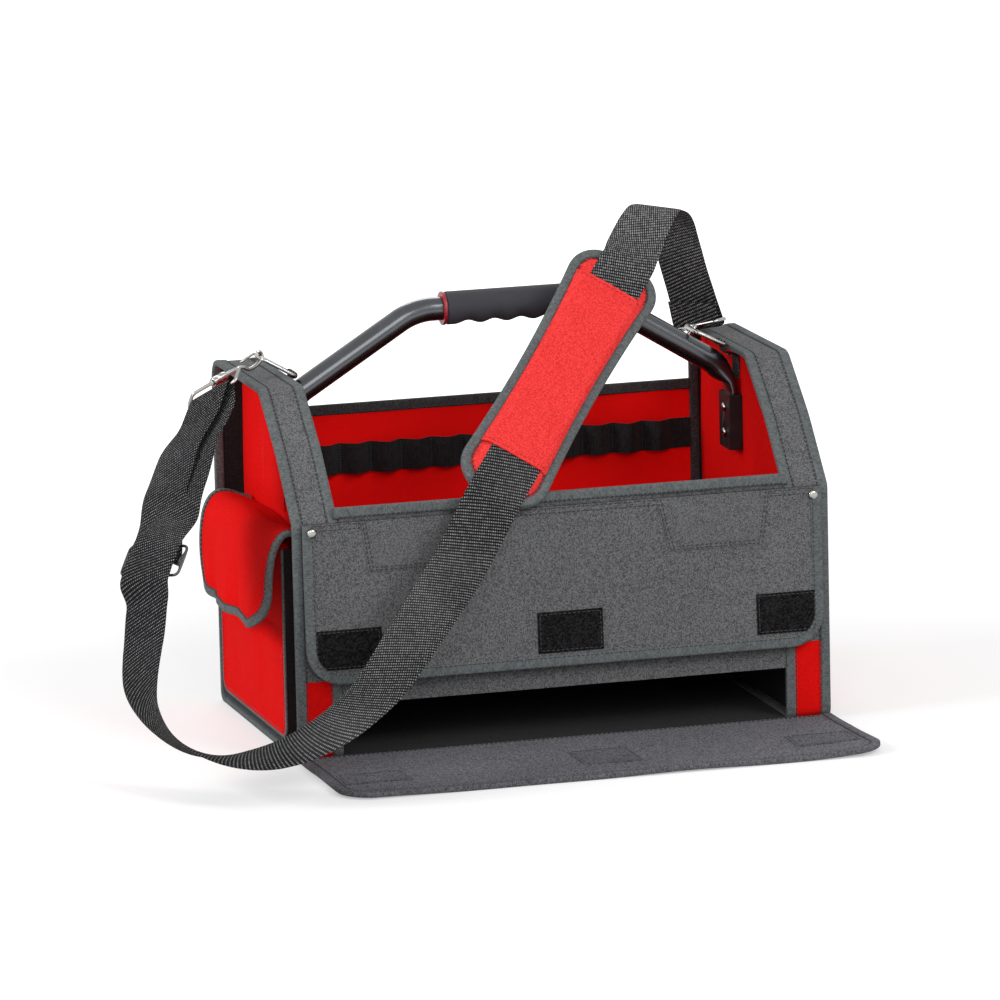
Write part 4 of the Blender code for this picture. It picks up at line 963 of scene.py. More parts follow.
class TOTE_OT_stage(Operator):
    """Sets up the pale floor, the studio lamps and the camera"""

    bl_idname = "tote.stage"
    bl_label = "Stage"

    def execute(self, context):
        scene, studio = context.scene, context.scene.tote_stage
        scene.view_settings.view_transform = "Standard"
        self.camera(scene)
        for name, place, towards, power, size in (
            ("Key lamp", (2.1, -3.4, 3.0), (0, -0.05, 0.2), studio.key, 1.8),
            ("Front lamp", (-1.0, -4.6, 2.4), (0, 0, 0.2), studio.key * 0.65, 2.2),
            ("Left lamp", (-3.6, -0.5, 1.9), (0, 0, 0.2), studio.fill, 1.6),
            ("Back lamp", (0.6, 3.2, 2.8), (0, 0, 0.3), studio.fill * 0.4, 2.0),
        ):
            point_lamp(name, place, towards, power, size)
        self.surroundings(scene, studio.ambient)
        mesh = bpy.data.meshes.new("Floor")
        mesh.from_pydata([(-20, -14, 0), (20, -14, 0), (20, 30, 0), (-20, 30, 0)], [], [(0, 1, 2, 3)])
        floor = bpy.data.objects.new("Floor", mesh)
        scene.collection.objects.link(floor)
        mesh.materials.append(self.floor_paint())
        return {"FINISHED"}

    def camera(self, scene):
        """Camera solved from the corners of the body in the photo: three directions, place and lens."""
        right = (0.96064, -0.27685, -0.02276)
        up = (0.07432, 0.17721, 0.98136)
        back = (-0.26766, -0.94443, 0.19081)
        place = (-1.99281, -6.96955, 1.60441)
        data = bpy.data.cameras.new("Camera")
        data.sensor_width, data.lens, data.clip_end = 36.0, 291.42, 100.0
        camera = bpy.data.objects.new("Camera", data)
        turn = np.column_stack([right, up, back, place])
        camera.matrix_world = Matrix([*turn.tolist(), [0, 0, 0, 1]])
        scene.collection.objects.link(camera)
        scene.camera = camera

    def surroundings(self, scene, ambient):
        """White all round: at full strength to the eye, and as the ambient share for light."""
        world = bpy.data.worlds.new("Studio")
        world.use_nodes = True
        scene.world = world
        web = Web(world.node_tree)
        web.tree.nodes.clear()
        strength = web.maths("MULTIPLY_ADD", self.seen(web), 1.0 - ambient, ambient)
        shade = web.add("ShaderNodeBackground", Color=(1, 1, 1, 1), Strength=strength)
        web.join(shade.outputs[0], web.add("ShaderNodeOutputWorld").inputs[0])

    def seen(self, web):
        """One for rays from the camera, a mirror or glass, and nought for the rest."""
        ray = web.add("ShaderNodeLightPath").outputs
        pair = web.maths("MAXIMUM", ray["Is Camera Ray"], ray["Is Glossy Ray"])
        return web.maths("MAXIMUM", pair, ray["Is Transmission Ray"])

    def floor_paint(self):
        """White to the eye where the light falls on it and far away, a soft grey in the shadow."""
        made = bpy.data.materials.new("Studio floor")
        made.use_nodes = True
        web = Web(made.node_tree)
        web.tree.nodes.clear()
        seen = self.seen(web)
        matt = web.add("ShaderNodeBsdfDiffuse")
        matt.inputs[0].default_value = (0.6, 0.6, 0.6, 1)
        away = web.add("ShaderNodeVectorMath", operation="LENGTH")
        web.join(web.add("ShaderNodeTexCoord").outputs["Object"], away.inputs[0])
        level = web.maths("MULTIPLY_ADD", web.soft_step(away.outputs["Value"], 0.45, 2.2), 0.55, 0.42)
        glow = web.add("ShaderNodeEmission", Color=(1, 1, 1, 1), Strength=web.maths("MULTIPLY", seen, level))
        both = web.add("ShaderNodeAddShader")
        web.join(matt.outputs[0], both.inputs[0])
        web.join(glow.outputs[0], both.inputs[1])
        web.join(both.outputs[0], web.add("ShaderNodeOutputMaterial").inputs[0])
        return made


# Carcass


class TOTE_OT_carcass(Operator):
    """Makes the front and back walls, their top tapes, the base and the raised floor"""

    bl_idname = "tote.carcass"
    bl_label = "Carcass"

    def execute(self, context):
        self.walls()
        self.tapes()
        self.floors()
        return {"FINISHED"}

    def walls(self):
        """Front and back wall, each with its own cloth on its two faces."""

        def slack(a, b):
            waves = ((0.17, 0.40, 0.4), (0.11, -0.23, 1.9), (0.29, 0.16, 2.7))
            return ripple(a, b, 0.0008, waves) * fade(a, -WALL_HALF, WALL_HALF, 0.03)

        for name, y, low, high, cloths in (
            ("front_wall", -WALL_Y, 0.050, 0.2278, [grey_cloth(), red_cloth()]),
            # The back wall's inner face takes the red cloth painted brighter, as painted light.
            ("back_wall", WALL_Y, 0.0048, 0.2688, [back_red_painted_light(), grey_cloth()]),
        ):
            a, b = grid(-WALL_HALF, WALL_HALF, low, high, 110, 60)
            laid(
                name + "_cloth", facing(y=y, slack=slack), a, b, (0, -1, 0), 0.0029, 0, cloths,
                "carcass", (name,),
            )

    def tapes(self):
        """Tapes on the top edges of the walls, and the rows that hold them."""
        for name, y, z, end, tape in (
            ("front_wall_binding", -WALL_Y, 0.224, WALL_HALF + 0.004, binding_tape()),
            ("back_wall_binding", WALL_Y, 0.265, WALL_HALF, dark_tape()),
        ):
            path = straight((-end, y, z), (end, y, z), spacing=0.004)
            carry(
                name + "_tape", path, (0, 0, 1), (0, -1, 0), pill(0.010, 0.0055), tape,
                "carcass", (name,),
            )
        rows = []
        for y, z, out in ((-0.1432, 0.2207, -1), (0.1432, 0.2617, 1), (0.1374, 0.2617, -1)):
            rows.append((straight((-WALL_HALF, y, z), (WALL_HALF, y, z)), (0, out, 0)))
        stitches("wall_tape_stitches", rows, thread(), "carcass")

    def floors(self):
        """Base panel and the raised floor above it, both black."""
        a, b = grid(-WALL_HALF, WALL_HALF, -0.1424, 0.1412, 60, 40)
        laid(
            "base_panel_cloth", facing(z=0.00225), a, b, (0, 0, 1), 0.0043, 0, black_cloth(),
            "carcass", ("base_panel",),
        )
        a, b = grid(-0.2185, 0.2185, -0.1371, 0.1371, 80, 50)
        laid(
            "raised_floor_cloth", facing(z=0.0555), a, b, (0, 0, 1), 0.0038, 0, black_cloth(),
            "carcass", ("raised_floor",),
        )


# Gable ends


def gable_span(inset, height):
    """Front and back edge of the gable at each height."""
    way, out = gable_way(inset, 1400)
    chains = [way[out[:, 0] < -0.03], way[out[:, 0] > 0.03]]
    chains = [chain[np.argsort(chain[:, 1])] for chain in chains]
    return [np.interp(height, chain[:, 1], chain[:, 0]) for chain in chains]


def gable_ring(side, x, inset, count=420):
    """Closed path round the gable at a fixed x, with the direction that faces out."""
    way, out = gable_way(inset, count)
    path = np.column_stack([np.full(len(way), side * x), way])
    return path, np.column_stack([np.zeros(len(out)), out])


class TOTE_OT_ends(Operator):
    """Makes the end walls, the gable bands and their binding tapes"""

    bl_idname = "tote.ends"
    bl_label = "Gable ends"

    def execute(self, context):
        for name, side in SIDES:
            self.wall(name, side)
            self.band(name, side)
            self.patches(name, side)
        return {"FINISHED"}

    def wall(self, name, side):
        foot = 0.0048 + 0.006 * (1 - np.cos(np.linspace(0, np.pi / 2, 8)))
        z = np.concatenate([foot, np.linspace(0.012, 0.300, 50), np.linspace(0.3015, 0.3172, 12)])
        first, last = gable_span(0.0045, z)
        share = np.linspace(0, 1, 70)[:, None]
        a = first + share * (last - first)
        b = np.broadcast_to(z, a.shape)

        def slack(a, b):
            return ripple(a, b, 0.0007, ((0.13, 0.31, 0.2), (0.21, -0.17, 2.2))) * fade(b, 0.0, 0.32, 0.04)

        obj = laid(
            name + "_end_wall_cloth", facing(x=side * 0.22075, slack=slack), a, b, (side, 0, 0), 0.0030, 0,
            [red_cloth(), black_cloth()], "carcass", (name + "_end_wall",),
        )
        paint(obj, lambda centres, facings: (centres[:, 2] < 0.0565) & (facings[:, 0] * side < -0.5))

    def band(self, name, side):
        path, up = gable_ring(side, BAND_MIDDLE, 0.0029)

        def pick(centres, uv_at):
            """Red low at the front, black on the inner face of the back and the top, grey elsewhere."""
            # Black on the band's inner face from y -0.02 m back and over the top
            inner_back_black = (uv_at[..., 1].mean(axis=1) > 16) & (centres[:, 1] > -0.02)
            return np.where((centres[:, 2] < 0.074) & (centres[:, 1] < -0.13), 1, np.where(inner_back_black, 2, 0))

        carry(
            name + "_band_cloth", path, (side, 0, 0), up, pill(0.0392, 0.0032, 32, 0.15),
            [grey_cloth(), red_cloth(), black_cloth()], "carcass", (name + "_end_band",),
            True, pick,
        )
        for label, x in (("outer", 0.2456), ("inner", 0.2124)):
            path, up = gable_ring(side, x, 0.0027)

            def dark(centres, uv_at, inner=label == "inner"):
                return inner & (centres[:, 1] > 0.10)

            carry(
                f"{name}_band_{label}_tape", path, (side, 0, 0), up, pill(BAND_TAPE_WIDTH, 0.0055),
                [binding_tape(), dark_tape()], "carcass", (f"{name}_band_{label}_binding",),
                True, dark,
            )
        rows = []
        for x in (0.2402, 0.2178):
            path, out = gable_ring(side, x, 0.0010, 700)
            rows.append((np.vstack([path, path[:1]]), np.vstack([out, out[:1]])))
        stitches(name + "_band_stitches", rows, thread(), "carcass")

    def patches(self, name, side):
        """Red patch on the outside of the end wall that covers the rivets' tails."""
        near, far, low, high = -0.012, 0.064, 0.2035, 0.292

        def sink(a, b):
            return -side * 0.0007 * (1 - fade(a, near, far, 0.010) * fade(b, low, high, 0.010))

        place = facing(x=side * 0.2240, slack=sink)
        a, b = grid(near, far, low, high, 40, 44)
        laid(
            name + "_rivet_cover", place, a, b, (side, 0, 0), 0.0008, 0, red_cloth(), "carcass",
        )
        way = straight((-0.009, 0.2065), (-0.009, 0.289), (0.061, 0.289), (0.061, 0.2065))
        rows = [row_on(place, way, (side, 0, 0), 0.0004)]
        stitches(name + "_cover_stitches", rows, thread(True), "carcass", radius=0.0004)


# Front apron and drop flap

APRON_HALF, APRON_LOW, APRON_HIGH = 0.242, 0.071, 0.2165


def apron_face(a, b):
    """The apron leans out to its lower edge: y = -0.14595 - 0.006 ((top - z) / (top - bottom))^2 - slack."""
    a, b = np.broadcast_arrays(np.asarray(a, float), np.asarray(b, float))
    lean = 0.006 * ((APRON_HIGH - b) / (APRON_HIGH - APRON_LOW)) ** 2
    soft = ripple(a, b, 0.0008, ((0.21, 0.34, 0.0), (-0.13, 0.19, 1.1), (0.33, -0.12, 2.3)))
    soft = soft * fade(a, -APRON_HALF, APRON_HALF, 0.03) * fade(b, APRON_LOW, APRON_HIGH, 0.03)
    return np.stack([a, -0.14595 - lean - soft, b], axis=-1)


class TOTE_OT_apron(Operator):
    """Makes the front apron with its tape, hook patches and stitched outlines"""

    bl_idname = "tote.apron"
    bl_label = "Front apron"

    def execute(self, context):
        out = (0, -1, 0)
        a, b = tongue(-0.2408, 0.2408, 0.0722, APRON_HIGH, 0.031, 150, 12, 50)
        panel = laid(
            "front_apron_cloth", apron_face, a, b, out, 0.0025, 0, [grey_cloth(), black_cloth()], "carcass",
            ("front_apron",),
        )
        way = free_edge(-0.237, 0.237, 0.076, APRON_HIGH, 0.027, 420)
        tape = edged(
            "front_apron_tape", apron_face, way, out, pill(0.010, 0.0050), 0, binding_tape(), "carcass",
            ("front_apron_binding",),
        )
        inner = free_edge(-0.2334, 0.2334, 0.0796, APRON_HIGH, 0.0234, 600)
        rows = [row_on(apron_face, inner, out, 0.0024)]
        for z in (0.2150, 0.2105):
            rows.append(row_on(apron_face, straight((-0.232, z), (0.232, z)), out, 0.0014))
        rows += self.hooks()
        seams = stitches("front_apron_stitches", rows, thread(), "carcass", radius=0.0005)
        rows = self.outlines()
        thin = stitches(
            "apron_patch_stitches", rows, thread(), "carcass", long=0.0030, radius=0.00056
        )
        for name, _ in SIDES:
            refined(f"apron_rivet_{name}", steel(), "carcass")
        return {"FINISHED"}

    def hooks(self):
        """Three hook patches near the apron's lower edge, and the rows that hold them."""
        rows = []
        spans = {
            "left": (-0.2345, -0.1728, 0.0845, 0.1200), "centre": (-0.0280, 0.0330, 0.0840, 0.1210),
            "right": (0.1780, 0.2345, 0.0850, 0.1217),
        }
        for name, span in spans.items():
            a, b = grid(*span, 40, 26)
            laid(
                f"apron_hook_{name}", apron_face, a, b, (0, -1, 0), 0.0010, 0.0018, hook_pile(),
                "carcass", (f"apron_hook_patch_{name}",),
            )
            rows.append(row_on(apron_face, drawn_in(span, (0.93, 0.89)), (0, -1, 0), 0.0027))
        return rows

    def outlines(self):
        """Two bare patches, wider at the top, sewn on below the top tape."""
        rows = []
        for name, top, low, height in (
            ("left", (-0.1885, -0.080), (-0.1826, -0.0870), 0.170),
            ("right", (0.0856, 0.194), (0.097, 0.187), 0.1672),
        ):
            share = np.linspace(0, 1, 46)[:, None]
            z = np.linspace(height, APRON_HIGH - 0.0005, 22)[None, :]
            up = (z - height) / (APRON_HIGH - height)
            first, last = low[0] + (top[0] - low[0]) * up, low[1] + (top[1] - low[1]) * up
            a = first + share * (last - first)
            b = np.broadcast_to(z, a.shape)
            laid(
                f"apron_patch_{name}", apron_face, a, b, (0, -1, 0), 0.0009, 0.0015, patch_cloth(),
                "carcass",
            )
            for inset in (0.0015, 0.0042):
                way = straight(
                    (top[0] + inset, APRON_HIGH), (low[0] + inset, height + inset),
                    (low[1] - inset, height + inset), (top[1] - inset, APRON_HIGH),
                )
                rows.append(row_on(apron_face, way, (0, -1, 0), 0.0021))
        return rows


def flap_face(a, b):
    """The drop flap lies on the floor in low waves.

    Its front corners curl up with the square of their nearness, the right one further than the left.
    """
    a, b = np.broadcast_arrays(np.asarray(a, float), np.asarray(b, float))
    far = np.clip((-0.165 - b) / 0.14, 0, 1)
    waves = 0.0006 + ripple(a, b, 0.0011, ((0.23, 0.31, 0.3), (-0.15, 0.12, 1.7), (0.41, -0.20, 2.9)))
    right = np.clip((a - 0.175) / 0.075, 0, 1) ** 2 * far**2 * 0.0042
    left = np.clip((-a - 0.215) / 0.035, 0, 1) ** 2 * far**2 * 0.0012
    return np.stack([a, b, 0.0027 + (waves + right + left) * np.clip(far * 4, 0, 1)], axis=-1)


class TOTE_OT_drop_flap(Operator):
    """Makes the drop flap that lies open on the floor"""

    bl_idname = "tote.drop_flap"
    bl_label = "Drop flap"

    def execute(self, context):
        out = (0, 0, 1)
        a, b = tongue(-0.2486, 0.2486, -0.3036, -0.1437, 0.0266, 170, 12, 56)
        panel = laid(
            "lower_flap_cloth", flap_face, a, b, out, 0.0029, 0, [lining_cloth(), grey_cloth()],
            "front_flap", ("lower_flap",),
        )
        way = free_edge(-0.2462, 0.2462, -0.3012, -0.1437, 0.0242, 460)
        tape = edged(
            "lower_flap_tape", flap_face, way, out, pill(0.0076, 0.0052), 0, dark_edging(), "front_flap",
            ("lower_flap_binding",),
        )
        rows = [row_on(flap_face, free_edge(-0.2412, 0.2412, -0.2962, -0.1437, 0.0192, 640), out, 0.00165)]
        rows.append(row_on(flap_face, straight((-0.238, -0.1480), (0.238, -0.1480)), out, 0.00165))
        loops = []
        spans = {
            "left": (-0.238, -0.178, -0.265, -0.225), "centre": (-0.020, 0.035, -0.265, -0.210),
            "right": (0.178, 0.238, -0.265, -0.225),
        }
        for name, span in spans.items():
            a, b = grid(*span, 40, 28)
            laid(
                f"flap_loop_{name}", flap_face, a, b, out, 0.0009, 0.0018, loop_pile(),
                "front_flap", (f"flap_loop_patch_{name}",),
            )
            loops.append(row_on(flap_face, drawn_in(span, 0.92), out, 0.0026))
        held = stitches(
            "flap_loop_stitches", loops, faint_thread(), "front_flap", radius=0.00035
        )
        seams = stitches("lower_flap_stitches", rows, thread(), "front_flap")
        return {"FINISHED"}


# End pockets and their flaps

POCKET_NEAR, POCKET_FAR, POCKET_LOW = -0.0985, 0.1305, 0.0135
GUSSET_X, GUSSET_WIDTH = 0.2361, 0.0262
FLAP_ROOT_X, FLAP_ROOT_Z = 0.2245, 0.1945


def drawn_end(side, y, z):
    """How far the right pocket's front end is drawn in under its flap.

    It is 12.5 mm times the smooth steps of the nearness to that end and of the height under the flap.
    """
    near = np.clip((-0.030 - y) / 0.060, 0, 1)
    covered = np.clip((z - 0.080) / 0.020, 0, 1)
    return (0.0125 if side > 0 else 0.0) * eased(near) * eased(covered)


def pocket_face(side):
    """Pocket front: flat, with a low swell in its middle that sinks to nothing at the piping.

    Under the flap it is pressed in, and drawn in with the right pocket's front end.
    """

    def place(a, b):
        a, b = np.broadcast_arrays(np.asarray(a, float), np.asarray(b, float))
        covered = np.clip((b - 0.088) / 0.020, 0, 1)
        press = 0.0085 * eased(covered) * fade(a, POCKET_NEAR, POCKET_FAR, 0.012) + drawn_end(side, a, b)
        swell = 0.0035 * fade(a, -0.105, 0.132, 0.11) * fade(b, 0.012, 0.215, 0.09)
        soft = ripple(a, b, 0.0012, ((0.085, 0.9, 0.5), (0.14, -0.21, 2.1), (0.05, 0.4, 1.2)))
        soft = soft * fade(a, -0.105, 0.132, 0.03) * fade(b, 0.012, 0.24, 0.04)
        return np.stack([side * (0.2489 + swell + soft - press), a, b], axis=-1)

    return place


# Profile of a pocket flap, as shares of its reach from the wall and of its drop
FLAP_SHARES = (
    (0, 0), (0.20, -0.045), (0.40, -0.095), (0.60, -0.105), (0.76, -0.040), (0.88, 0.110), (0.95, 0.350),
    (0.98, 0.600), (1, 0.860), (1, 1),
)


def pocket_flap_face(side):
    """Pocket flap: it runs out from the wall and turns down, and its folds deepen towards the free edge.

    Its front end is drawn in, on the right all the way down and on the left at the turn only.
    """
    shares = smooth_way(np.array(FLAP_SHARES), 8)
    profile = np.column_stack([FLAP_ROOT_X + 0.0505 * shares[:, 0], FLAP_ROOT_Z - 0.081 * shares[:, 1]])[::-1]
    profile = resample(profile, 240)
    along = lengths(profile)

    def place(a, b):
        a, b = np.broadcast_arrays(np.asarray(a, float), np.asarray(b, float))
        x, z = np.interp(b, along, profile[:, 0]), np.interp(b, along, profile[:, 1])
        hang = np.clip((0.10 - b) / 0.09, 0, 1)
        folds = 0.0030 * np.sin(2 * np.pi * a / 0.094 + 0.9)
        folds = folds + 0.0009 * np.sin(2 * np.pi * a / 0.041 + 2.0 + 14 * b)
        near = np.clip((-0.030 - a) / 0.060, 0, 1)
        drawn = 0.33 if side > 0 else 0.24 * (1 - hang)
        x = FLAP_ROOT_X + (x - FLAP_ROOT_X) * (1 - drawn * eased(near))
        tuck = -0.007 * np.clip((a - 0.050) / 0.060, 0, 1) ** 2
        if side < 0:
            tuck = tuck - 0.009 * np.clip((-0.055 - a) / 0.06, 0, 1) ** 2
        wave = 0.0012 * (1 - hang) * np.sin(2 * np.pi * a / 0.11)
        return np.stack([side * (x + (folds + tuck) * hang * hang), a, z + wave], axis=-1)

    return place, along[-1]


class TOTE_OT_pockets(Operator):
    """Makes the end pockets with their gussets and piping, and the flaps that cover them"""

    bl_idname = "tote.pockets"
    bl_label = "End pockets"

    def execute(self, context):
        for name, side in SIDES:
            self.pocket(name, side)
            self.flap(name, side)
        return {"FINISHED"}

    def pocket(self, name, side):
        out = (side, 0, 0)
        place = pocket_face(side)
        a, b = tongue(POCKET_NEAR, POCKET_FAR, POCKET_LOW, 0.187, 0.0125, 110, 12, 70)
        laid(
            name + "_pocket_front", place, a, b, out, 0.0018, 0, red_cloth(), "carcass",
            (name + "_end_pocket",),
        )
        way = free_edge(POCKET_NEAR, POCKET_FAR, POCKET_LOW, 0.1865, 0.0125, 300)
        drawn = drawn_end(side, way[:, 0], way[:, 1])
        path = np.column_stack([side * (GUSSET_X - drawn / 2), way])
        wide = np.column_stack([side * (1 - drawn / GUSSET_WIDTH), np.zeros((len(way), 2))])
        inward = unit(np.cross(slopes(path), (side, 0, 0)))
        inward *= np.sign(np.sum(inward * (np.array([0, POCKET_LOW, 0.1]) - path), axis=1))[:, None]
        carry(
            name + "_pocket_gusset", path, wide, inward, pill(GUSSET_WIDTH, 0.0018, 20, 0.15),
            black_cloth(), "carcass",
        )
        path = np.column_stack([side * (0.2490 - drawn), way])
        carry(
            name + "_pocket_piping", path, (side, 0, 0), inward, pill(0.0024, 0.0034, 16, 0.8),
            binding_tape(), "carcass",
        )
        hem = straight((-0.098, 0.185), (0.130, 0.185))
        seam = free_edge(-0.0940, 0.1260, 0.0180, 0.185, 0.009, 300)
        rows = [row_on(place, way, out, 0.0012) for way in (hem - (0, 0.006), seam)]
        stitches(name + "_pocket_stitches", rows, thread(True), "carcass")

    def flap(self, name, side):
        body = ("carcass", name + "_flap", (side * 0.2236, 0, 0.1942), (side * 0.2520, 0, 0.1942))
        out = (side, 0, 0.35)
        place, reach = pocket_flap_face(side)
        a, b = tongue(-0.1140, 0.1090, 0.0012, reach, 0.040, 120, 18, 80)
        panel = laid(
            name + "_pocket_flap_cloth", place, a, b, out, 0.0023, 0, red_cloth(), body,
            (name + "_pocket_flap",),
        )
        way = free_edge(-0.1112, 0.1062, 0.0040, reach - 0.001, 0.0372, 420)
        tape = edged(
            name + "_pocket_flap_tape", place, way, out, pill(0.0086, 0.0046), 0, binding_tape(), body,
        )
        rows = [row_on(place, free_edge(-0.1072, 0.1022, 0.0080, reach - 0.002, 0.0332, 460), out, 0.0022)]
        seams = stitches(name + "_pocket_flap_stitches", rows, thread(), body)
        root = straight((-0.104, reach - 0.004), (0.099, reach - 0.004))
        rows = [row_on(place, root, out, 0.0014)]
        inner = stitches(name + "_pocket_flap_root_stitches", rows, thread(True), body)


# Handle

TUBE_RADIUS = 0.011


def handle_half(count=220):
    """Centre line of half the tube: straight, arc, straight, arc, straight down the leg."""
    corners = np.array([(0, GRIP_Z), (0.087, GRIP_Z), (0.2045, 0.300), (0.2045, 0.2275)])
    bends = [arc(corners, index, radius, 24) for index, radius in ((1, 0.060), (2, 0.024))]
    return resample(np.vstack([corners[:1], *bends, corners[3:]]), count)


def tube_rings(points=48):
    """Tube carried along the whole centre line; p presses it flat: half sizes r + (flat - r) p."""
    half = handle_half()
    way = np.vstack([half[:0:-1] * (-1, 1), half])
    p = np.interp(way[:, 1], (0.2790, 0.2866, 0.2901, 0.2935, 0.2967, 0.2998), (1, 0.8, 0.55, 0.3, 0.12, 0))
    way = way + np.column_stack([np.sign(way[:, 0]) * 0.0075 * p, np.zeros(len(way))])
    along = slopes(way)
    across = np.column_stack([-along[:, 1], np.zeros(len(way)), along[:, 0]])
    angle = np.linspace(0, 2 * np.pi, points, endpoint=False)
    soft = (1 - 0.45 * p)[:, None]
    x = np.sign(np.cos(angle)) * np.abs(np.cos(angle)) ** soft * (TUBE_RADIUS - 0.0075 * p)[:, None]
    y = np.sign(np.sin(angle)) * np.abs(np.sin(angle)) ** soft * (TUBE_RADIUS + 0.0025 * p)[:, None]
    centre = np.column_stack([way[:, 0], np.full(len(way), HANDLE_Y), way[:, 1]])
    rings = centre[:, None] + across[:, None] * x[..., None] + np.array([0, 1.0, 0]) * y[..., None]
    uv = np.stack(
        np.broadcast_arrays(lengths(way)[:, None], np.linspace(0, 0.069, points + 1)[None, :]), axis=-1
    )
    return rings, uv


def turned(name, spots, radii, material, body, replaced, lower=None, points=64):
    """Solid turned about the grip's axis: each radius at its spot, less a wave on the lower side."""
    angle = np.linspace(0, 2 * np.pi, points, endpoint=False)
    down = np.clip(-np.sin(angle), 0, 1) ** 1.4
    radius = np.asarray(radii)[:, None] - (0 if lower is None else np.asarray(lower)[:, None]) * down
    x = np.broadcast_to(np.asarray(spots)[:, None], radius.shape)
    rings = np.stack([x, HANDLE_Y + radius * np.cos(angle), GRIP_Z + radius * np.sin(angle)], axis=-1)
    uv = np.stack(
        np.broadcast_arrays(np.asarray(spots)[:, None], np.linspace(0, 0.094, points + 1)[None, :]), axis=-1
    )
    return skin(name, rings, uv, material, body, replaced, crease=60)


class TOTE_OT_handle(Operator):
    """Makes the bent tube, its foam grip and ring, the brackets and their rivets"""

    bl_idname = "tote.handle"
    bl_label = "Handle"

    def execute(self, context):
        rings, uv = tube_rings()
        skin("handle_tube_fine", rings, uv, tube_metal(), "carcass", ("handle_tube",))
        turn = np.linspace(0, np.pi / 2, 8)
        first, last = -0.059 + 0.003 * (1 - np.cos(turn)), 0.056 + 0.003 * np.sin(turn)
        x = np.concatenate([first, np.linspace(-0.0555, 0.0555, 150), last])
        edge = np.clip((0.059 - np.abs(x)) / 0.003, 0, 1)
        radii = 0.0152 - 0.0022 * (1 - np.sqrt(1 - (1 - edge) ** 2))
        waves = 0.0030 * (0.5 - 0.5 * np.cos(2 * np.pi * 4 * (x + 0.050) / 0.100)) * (np.abs(x) < 0.050)
        turned("handle_grip_foam", x, radii, grip_foam(), "carcass", ("handle_grip",), waves)
        turn = np.linspace(0, np.pi, 14)
        x, radii = -0.0605 - 0.0014 * np.cos(turn), 0.0146 + 0.0009 * np.sin(turn) ** 0.6
        turned(
            "handle_grip_collar", x, radii, ring_plastic(), "carcass", ("handle_grip_ring",)
        )
        for name, _ in SIDES:
            refined(f"{name}_handle_bracket", black_plastic(), "carcass")
            for level in ("lower", "upper"):
                refined(f"handle_rivet_{name}_{level}", steel(), "carcass")
        return {"FINISHED"}


# Tool loops


class TOTE_OT_tool_loops(Operator):
    """Makes the elastic band sewn down into tool loops along the back wall"""

    bl_idname = "tote.tool_loops"
    bl_label = "Tool loops"

    def execute(self, context):
        x = np.linspace(-0.2070, 0.2070, 560)
        count, first = 13, -0.1896
        pitch = 0.3792 / count
        phase = (x - first) / pitch
        bulge = np.abs(np.sin(np.pi * phase)) ** 1.5 * 0.0098 * (np.abs(x) < -first)
        uneven = 1 + 0.14 * np.sin(2.3 * np.floor(phase) + 0.7)
        low, high = 0.2055, 0.2335
        z = np.linspace(low, high, 18)
        pull = 1 - 0.10 * (2 * (z - low) / (high - low) - 1) ** 2
        y = 0.1374 - (bulge * uneven)[:, None] * pull[None, :]
        surface = np.stack(np.broadcast_arrays(x[:, None], y, z[None, :]), axis=-1)
        front, back = thick(surface, 0.0016, (0, -1, 0))
        along = lengths(surface[:, 9])
        uv = np.stack(np.broadcast_arrays(along[:, None], z[None, :]), axis=-1)
        names = ("tool_loops_left", "tool_loops_centre", "tool_loops_right")
        cloth("tool_loop_band", front, back, uv, elastic(), "carcass", names)
        rows = []
        for step in range(1, count):
            at = first + pitch * step
            rows.append((straight((at, 0.1362, low + 0.001), (at, 0.1362, high - 0.001)), (0, -1, 0)))
        stitches("tool_loop_stitches", rows, thread(), "carcass", pitch=0.0026, long=0.0019)
        return {"FINISHED"}


# Strap hardware


class TOTE_OT_fittings(Operator):
    """Makes the rings, hooks, gates, webbing loops, slider and ring tabs"""

    bl_idname = "tote.fittings"
    bl_label = "Strap fittings"

    def execute(self, context):
        for name, side in SIDES:
            for part in ("ring", "hook", "webbing_loop"):
                refined(f"{name}_{part}", steel(), "carcass", levels=1)
            refined(f"{name}_gate", steel(), f"{name}_hook_gate", levels=1)
            self.tab(name, side)
        refined("strap_slider", dark_steel(), "carcass", levels=1)
        return {"FINISHED"}

    def tab(self, name, side):
        """Webbing tab: up the wall, round the ring's straight foot and on itself."""
        wrap = 0.0027
        wall_x, foot_x, foot_z = 0.2181, 0.2035, 0.3222
        shares = ((0, 5.4), (1.2, 4.2), (3.6, 3.6), (4.5, 2.6))
        rise = [(wall_x, 0.290)] + [(wall_x - wrap * a, foot_z - wrap * b) for a, b in shares]
        turn = -0.30 * np.pi - (2 * np.pi - 0.55 * np.pi) * np.linspace(0, 1, 20)
        loop = np.column_stack([foot_x + wrap * np.cos(turn), foot_z + wrap * np.sin(turn)])
        way = np.vstack([smooth_way(rise, 5)[:-1], loop])
        path = np.column_stack([side * way[:, 0], np.full(len(way), HANDLE_Y), way[:, 1]])
        up = unit(np.cross(slopes(path), (0, 1, 0)))
        carry(
            name + "_ring_tab_webbing", path, (0, 1, 0), up, pill(0.0198, 0.0012, 24, 0.2), webbing(),
            "carcass", (name + "_ring_tab",),
        )


# Shoulder strap

